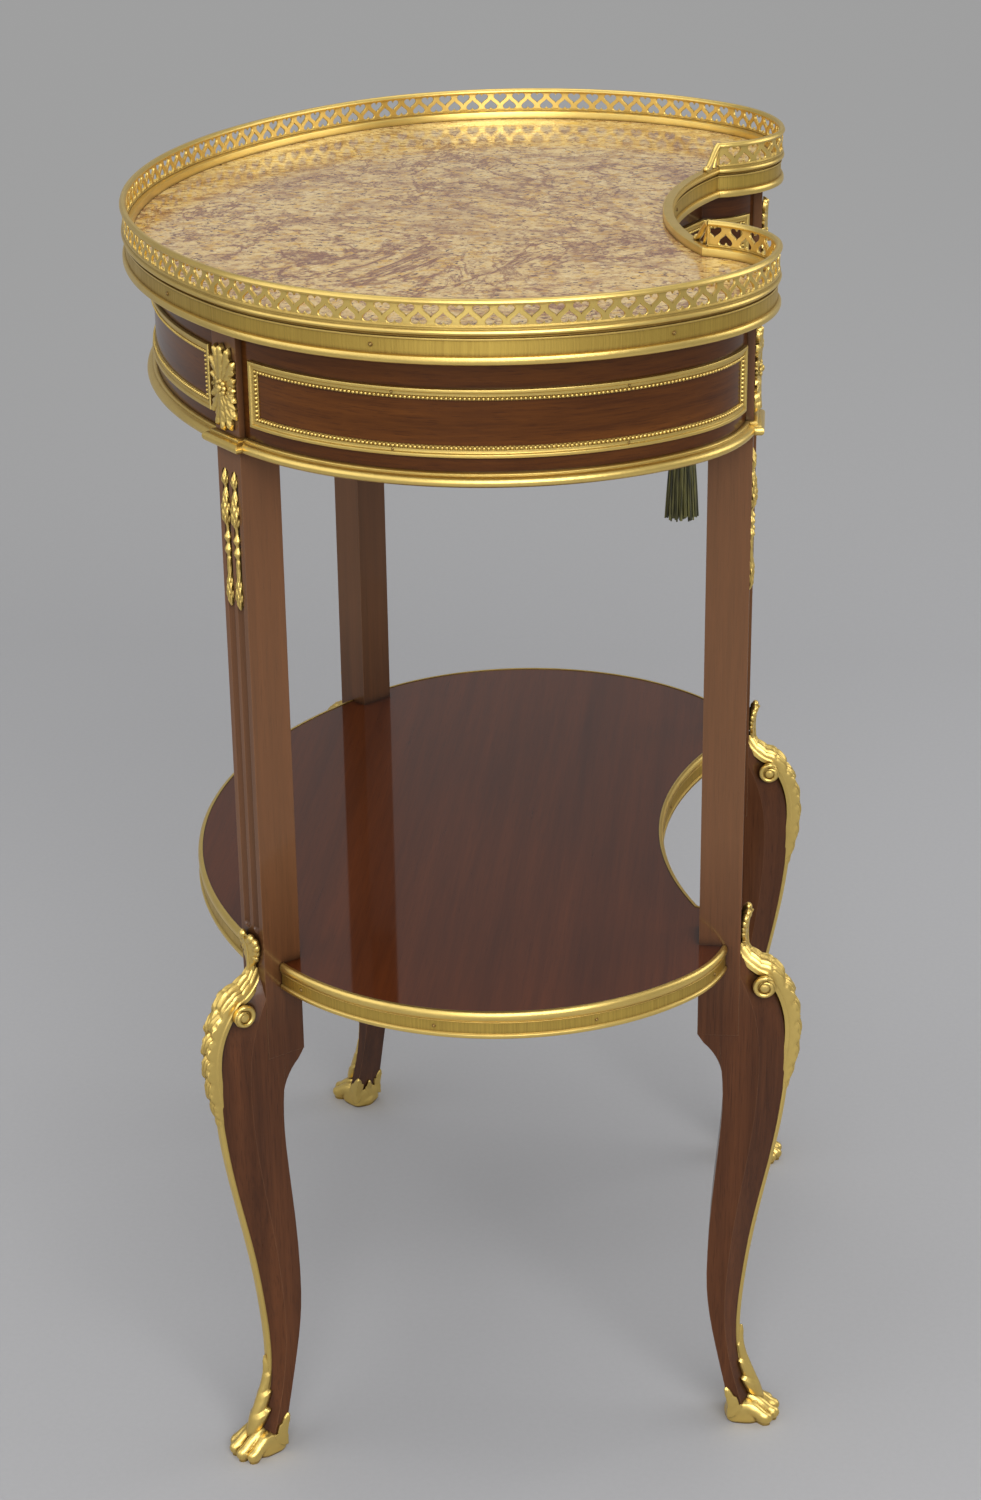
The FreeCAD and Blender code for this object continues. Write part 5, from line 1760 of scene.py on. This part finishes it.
    def bead_row(self, draft: Draft, rail: Rail) -> None:
        """Row of half-round beads inside the frame.

        Args:
            draft: Mesh that takes them.
            rail: Line of the frieze's face along the panel.
        """
        inset = self.bead_inset
        x0, x1 = inset, rail.lengths[-1] - inset
        z0, z1 = self.frame_foot + inset, self.frame_foot + self.frame_height - inset
        corners = np.array([(x0, z0), (x1, z0), (x1, z1), (x0, z1)])
        spots = []
        for start, end in zip(corners, np.roll(corners, -1, 0)):
            number = round(np.abs(end - start).sum() / self.bead_pitch)
            spots.append(start + (np.arange(number) / number)[:, None] * (end - start))
        sides, rings = self.bead_sides, len(self.bead_angles)
        turn = circle(sides)
        faces: list[Face] = []
        for ring in range(rings):
            for k in range(sides):
                this, after = sides * ring + k, sides * ring + (k + 1) % sides
                last = (sides * rings,) if ring == rings - 1 else (after + sides, this + sides)
                faces.append((this, after, *last))
        for x, z in np.vstack(spots):
            rows = []
            for angle in np.radians(self.bead_angles):
                reach = self.bead_radius * math.sin(angle)
                rise = self.bead_seat + self.bead_radius * self.bead_rise * math.cos(angle)
                rows.append(rail.at(x + reach * np.cos(turn), rise, z + reach * np.sin(turn)))
            tip = rail.at(np.array([x]), self.bead_seat + self.bead_radius * self.bead_rise, np.array([z]))
            draft.add(np.vstack((*rows, tip)), faces)


@dataclass(frozen=True)
class Shelf:
    """Gilt edge bands of the shelf."""

    top: float = 349.0
    profile: tuple[Pair, ...] = (
        (-3.0, 17.0), (-0.9, 17.0), (-0.2, 16.4), (0.0, 15.6), (-0.1, 14.6), (-0.6, 14.1), (-1.2, 13.8),
        (-1.2, 7.0), (-0.9, 6.6), (-1.3, 6.2), (-0.6, 5.6), (-0.1, 4.4), (0.0, 3.0), (-0.25, 1.6),
        (-0.9, 0.5), (-1.7, 0.0), (-3.0, 0.0))
    flat_drop: float = 13.8
    flat_inset: float = 1.2
    step: float = 2.0
    end_gap: float = 0.15
    pin_shares: tuple[float, ...] = (0.06, 0.35, 0.65, 0.94)
    pin_drop: float = 10.4
    pin_radius: float = 1.0

    def build(self, finishes: Finishes) -> None:
        """Make the band between each pair of legs in the table's finishes."""
        dress = finishes.gilding(Body.CARCASS, Metal.GILT, Metal.BRUSHED, Metal.PIN)
        for side, line in between_legs(SHELF_PLAN.trace(0, self.step), self.end_gap).items():
            place_piece("shelf_edge_" + side, self.band(line), dress, "shelf_band_" + side)

    def band(self, line: Points) -> Mesh:
        """Band with a rounded lip, a brushed flat and a bottom fillet.

        Args:
            line: Outline of the shelf between two legs.

        Returns:
            The band's mesh.
        """
        tones = [Metal.BRUSHED if drop == self.flat_drop else Metal.GILT for _, drop in self.profile]
        draft = Draft()
        rail = Rail(line)
        rail.sweep(draft, [(out, self.top - drop) for out, drop in self.profile], tones)
        spots = [(share * rail.lengths[-1], self.top - self.pin_drop) for share in self.pin_shares]
        pin_heads(draft, rail, spots, -self.flat_inset, self.pin_radius)
        return draft.mesh("shelf_edge", sharp=35)


@dataclass(frozen=True)
class Tassel:
    """Silk tassel that hangs from the key on a cord."""

    y: float = -128.2
    key_height: float = 704.4
    loop_radius: float = 3.8
    loop_rows: int = 49
    cord_radius: float = 1.0
    cord_drop: float = 72.0
    cord_tail: float = 20.0
    head_radius: float = 8.0
    head_shares: tuple[Pair, ...] = (
        (0.12, 0.0), (0.34, 0.02), (0.66, 0.14), (0.9, 0.36), (1.0, 0.66), (1.0, 1.0), (0.92, 1.3),
        (0.74, 1.52), (0.66, 1.62), (0.74, 1.68), (0.78, 1.78), (0.74, 1.88), (0.66, 1.95), (0.6, 2.0))
    head_sides: int = 144
    rib_relief: float = 0.03
    ribs: int = 36
    skirt_seat: float = 1.9
    skirt_radius: float = 10.4
    skirt_length: float = 57.0
    neck: float = 0.62
    strands: int = 130
    strand_rows: int = 9
    strand_radii: Pair = (0.66, 0.56)
    ragged: float = 0.07
    sway: float = 0.12
    seed: int = 7

    @property
    def head_top(self) -> float:
        """Height of the head's top."""
        return self.key_height - self.cord_drop

    def build(self, finishes: Finishes) -> None:
        """Make the cord, the head and the skirt of threads in the table's silk."""
        dress = Dress(Body.TASSEL, Slot.SILK, (finishes.silk,))
        head = place_piece("tassel_knot", self.head(), dress, "tassel_head")
        skirt = place_piece("tassel_threads", self.skirt(), dress, "tassel_skirt")
        loop = place_piece("tassel_loop", self.loop(), dress)
        cord = place_piece("tassel_line", self.cord_line(), dress, "tassel_cord")

    def cord_line(self) -> bpy.types.Curve:
        """Cord from the loop on the key down through the head into the neck of the skirt."""
        made = bpy.data.curves.new("tassel_line", "CURVE")
        made.dimensions = "3D"
        made.bevel_depth = self.cord_radius * MM
        made.bevel_resolution = 3
        made.use_fill_caps = True
        spline = made.splines.new("NURBS")
        heights = (self.key_height - self.loop_radius, self.head_top, self.head_top - self.cord_tail)
        spline.points.add(len(heights) - 1)
        for point, height in zip(spline.points, heights):
            point.co = (0.0, self.y * MM, height * MM, 1.0)
        spline.order_u = 3
        spline.use_endpoint_u = True
        spline.resolution_u = 12
        return made

    def loop(self) -> Mesh:
        """Loop of cord round the key's shank."""
        draft = Draft()
        turn = np.linspace(0, FULL_TURN, self.loop_rows)
        ring = np.column_stack((self.loop_radius * np.sin(turn), np.full_like(turn, self.y),
                                self.key_height - self.loop_radius * np.cos(turn)))
        tube(draft, ring, np.full(len(turn), self.cord_radius), sides=8)
        return draft.mesh("tassel_loop")

    def head(self) -> Mesh:
        """Turned head wound with fine ribs of thread, with a neck."""
        turn = circle(self.head_sides)
        rib = 1 + self.rib_relief * np.abs(np.sin(self.ribs / 2 * turn))
        rows = []
        for wide, drop in self.head_shares:
            radius = wide * self.head_radius * rib
            height = np.full_like(turn, self.head_top - drop * self.head_radius)
            rows.append(np.column_stack((radius * np.cos(turn), self.y + radius * np.sin(turn), height)))
        draft = Draft()
        draft.skin(rows)
        return draft.mesh("tassel_knot", sharp=60)

    def skirt(self) -> Mesh:
        """Threads that hang from the neck and flare a little."""
        dice = random.Random(self.seed)
        top = self.head_top - self.skirt_seat * self.head_radius
        neck = self.head_radius * self.neck
        drop = np.linspace(0, 1, self.strand_rows)
        draft = Draft()
        for k in range(self.strands):
            angle = k * math.pi * (3 - math.sqrt(5))
            reach = math.sqrt((k + 0.5) / self.strands)
            length = self.skirt_length * (1 - self.ragged * dice.random())
            bend = angle + dice.uniform(-self.sway, self.sway) * drop**2
            radius = reach * (neck + (self.skirt_radius - neck) * drop**0.6)
            x, y = radius * np.cos(bend), self.y + radius * np.sin(bend)
            path = np.column_stack((x, y, top - length * drop))
            tube(draft, path, np.linspace(*self.strand_radii, len(path)), sides=7)
        return draft.mesh("tassel_threads", sharp=60)


@dataclass(frozen=True)
class Carcass:
    """Finishes of the solids that stay as they are."""

    upright: tuple[str, ...] = tuple("leg_" + leg.name for leg in LEGS)
    along: tuple[str, ...] = ("top_board", "shelf_board")
    level: tuple[str, ...] = (
        "frieze_rail_back", "frieze_rail_left", "frieze_rail_right", "drawer_rail", "drawer_front")
    linings: tuple[str, ...] = (
        "drawer_side_left", "drawer_side_right", "drawer_runner_left", "drawer_runner_right",
        "drawer_kicker_left", "drawer_kicker_right")
    floors: tuple[str, ...] = ("drawer_back", "drawer_bottom")
    lock: tuple[str, ...] = ("lock_case", "lock_bolt")

    def dress(self, finishes: Finishes) -> None:
        """Give every shown node its material from the table's finishes."""
        worn = {"marble_top": finishes.marble, "key": finishes.metals[Metal.STEEL]}
        worn |= dict.fromkeys(self.lock, finishes.metals[Metal.LOCK])
        worn |= dict.fromkeys(self.upright, finishes.mahogany[Grain.UPRIGHT])
        worn |= dict.fromkeys(self.along, finishes.mahogany[Grain.ALONG])
        worn |= dict.fromkeys(self.level, finishes.mahogany[Grain.LEVEL])
        worn |= dict.fromkeys(self.linings, finishes.oak[Grain.LEVEL])
        worn |= dict.fromkeys(self.floors, finishes.oak[Grain.ALONG])
        for name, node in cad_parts.items():
            if node.hide_render:
                continue
            node.data.materials.clear()
            node.data.materials.append(worn.get(name, finishes.metals[Metal.GILT]))
            LOG.info("node %s wears %s", name, node.data.materials[0].name)


@dataclass(frozen=True)
class Studio:
    """Camera, floor, backdrop and soft light."""

    eye: Triple = (-1.7347, -0.1831, 1.1460)
    yaw: float = 5.8593
    pitch: float = 23.2307
    roll: float = -0.7369
    focal_px: float = 2887.70
    long_side_px: float = 1500.0
    sensor: float = 36.0
    paper: Triple = (0.40, 0.40, 0.41)
    paper_reach: float = 6000.0
    curve_start: float = 1200.0
    curve_radius: float = 1500.0
    curve_turn: tuple[float, float, int] = (0.1, math.pi / 2, 14)
    mottle: Pair = (0.97, 1.03)
    light_blend: Pair = (1.1, 2.5)
    black: Triple = (0.0, 0.0, 0.0)
    sky: Triple = (0.82, 0.82, 0.82)
    sky_strength: float = 0.42
    aim: Triple = (0.0, 0.0, 0.45)
    lamps: tuple[tuple[str, Triple, float, float], ...] = (
        ("key_light", (-2.9, -0.9, 2.3), 2.6, 97),
        ("fill_light", (-1.4, 2.4, 2.0), 3.2, 31),
        ("top_light", (0.6, 0.0, 3.0), 2.6, 26),
        ("drawer_light", (0.7, -2.9, 1.7), 2.0, 22),
        ("low_light", (-3.1, 0.4, 0.8), 2.2, 14))

    def build(self) -> None:
        """Make the camera, the backdrop and the lights."""
        self.camera()
        self.backdrop()
        for lamp in self.lamps:
            self.lamp(*lamp)
        world = bpy.data.worlds.new("studio")
        bpy.context.scene.world = world
        world.use_nodes = True
        world.node_tree.nodes["Background"].inputs["Color"].default_value = (*self.sky, 1.0)
        world.node_tree.nodes["Background"].inputs["Strength"].default_value = self.sky_strength
        bpy.context.scene.view_settings.view_transform = "Standard"

    def camera(self) -> None:
        """Set the camera at the photograph's viewing angle."""
        yaw, pitch, roll = (math.radians(a) for a in (self.yaw, self.pitch, self.roll))
        ahead = Vector((math.cos(pitch) * math.cos(yaw), math.cos(pitch) * math.sin(yaw), -math.sin(pitch)))
        right = Vector((math.sin(yaw), -math.cos(yaw), 0))
        up = right.cross(ahead)
        across = math.cos(roll) * right + math.sin(roll) * up
        above = math.cos(roll) * up - math.sin(roll) * right
        data = bpy.data.cameras.new("view")
        data.sensor_width = self.sensor
        data.lens = self.focal_px * self.sensor / self.long_side_px
        made = put("view", data)
        turn = Matrix((across, above, -ahead)).transposed().to_4x4()
        made.matrix_world = Matrix.Translation(self.eye) @ turn
        bpy.context.scene.camera = made

    def backdrop(self) -> None:
        """Pale paper that runs from the floor up a wide curve and fades into the even light of the studio."""
        start, radius, reach = self.curve_start, self.curve_radius, self.paper_reach
        curve = [(-reach, 0), (start, 0)]
        curve += [(start + radius * math.sin(angle), radius - radius * math.cos(angle))
                  for angle in np.linspace(*self.curve_turn)]
        curve.append((start + radius, reach))
        draft = Draft()
        draft.grid(np.array([[(x, y, z) for x, z in curve] for y in (-reach, reach)], float))
        surface = Surface("paper")
        tint = surface.span(surface.noise(surface.place, scale=260, detail=3), 0.0, 1.0, *self.mottle)
        colour = surface.mix(1.0, self.paper, tint, "MULTIPLY")
        away = surface.node("VectorMath", {0: surface.place}, operation="LENGTH").outputs["Value"]
        far = surface.span(away, *self.light_blend, interpolation_type="SMOOTHSTEP")
        glow = tuple(share * self.sky_strength for share in self.sky)
        made = put("paper", draft.mesh("paper", sharp=80))
        made.data.materials.append(surface.close({
            "Base Color": surface.mix(far, colour, self.black), "Roughness": 0.9, "Specular IOR Level": 0.1,
            "Emission Color": surface.mix(far, self.black, glow), "Emission Strength": 1.0}))

    def lamp(self, name: str, place: Triple, size: float, power: float) -> None:
        """Square soft light aimed at the table.

        Args:
            name: Name of the light.
            place: Where it stands, in metres.
            size: Width in metres.
            power: Strength in watts.
        """
        data = bpy.data.lights.new(name, "AREA")
        data.size = size
        data.energy = power
        made = put(name, data)
        made.location = place
        away = Vector(self.aim) - Vector(place)
        made.rotation_euler = away.to_track_quat("-Z", "Y").to_euler()


def main() -> None:
    """Build and dress the table."""
    logging.basicConfig(level=logging.INFO, format="%(message)s")
    finishes = Finishes.make()
    Studio().build()
    Tassel().build(finishes)
    EdgeBand().build(finishes)
    Gallery().build(finishes)
    Frieze().build(finishes)
    Shelf().build(finishes)
    PostMount().build(finishes)
    FluteHusks().build(finishes)
    KneeMount().build(finishes)
    Sabot().build(finishes)
    Carcass().dress(finishes)


if __name__ == "__main__":
    main()
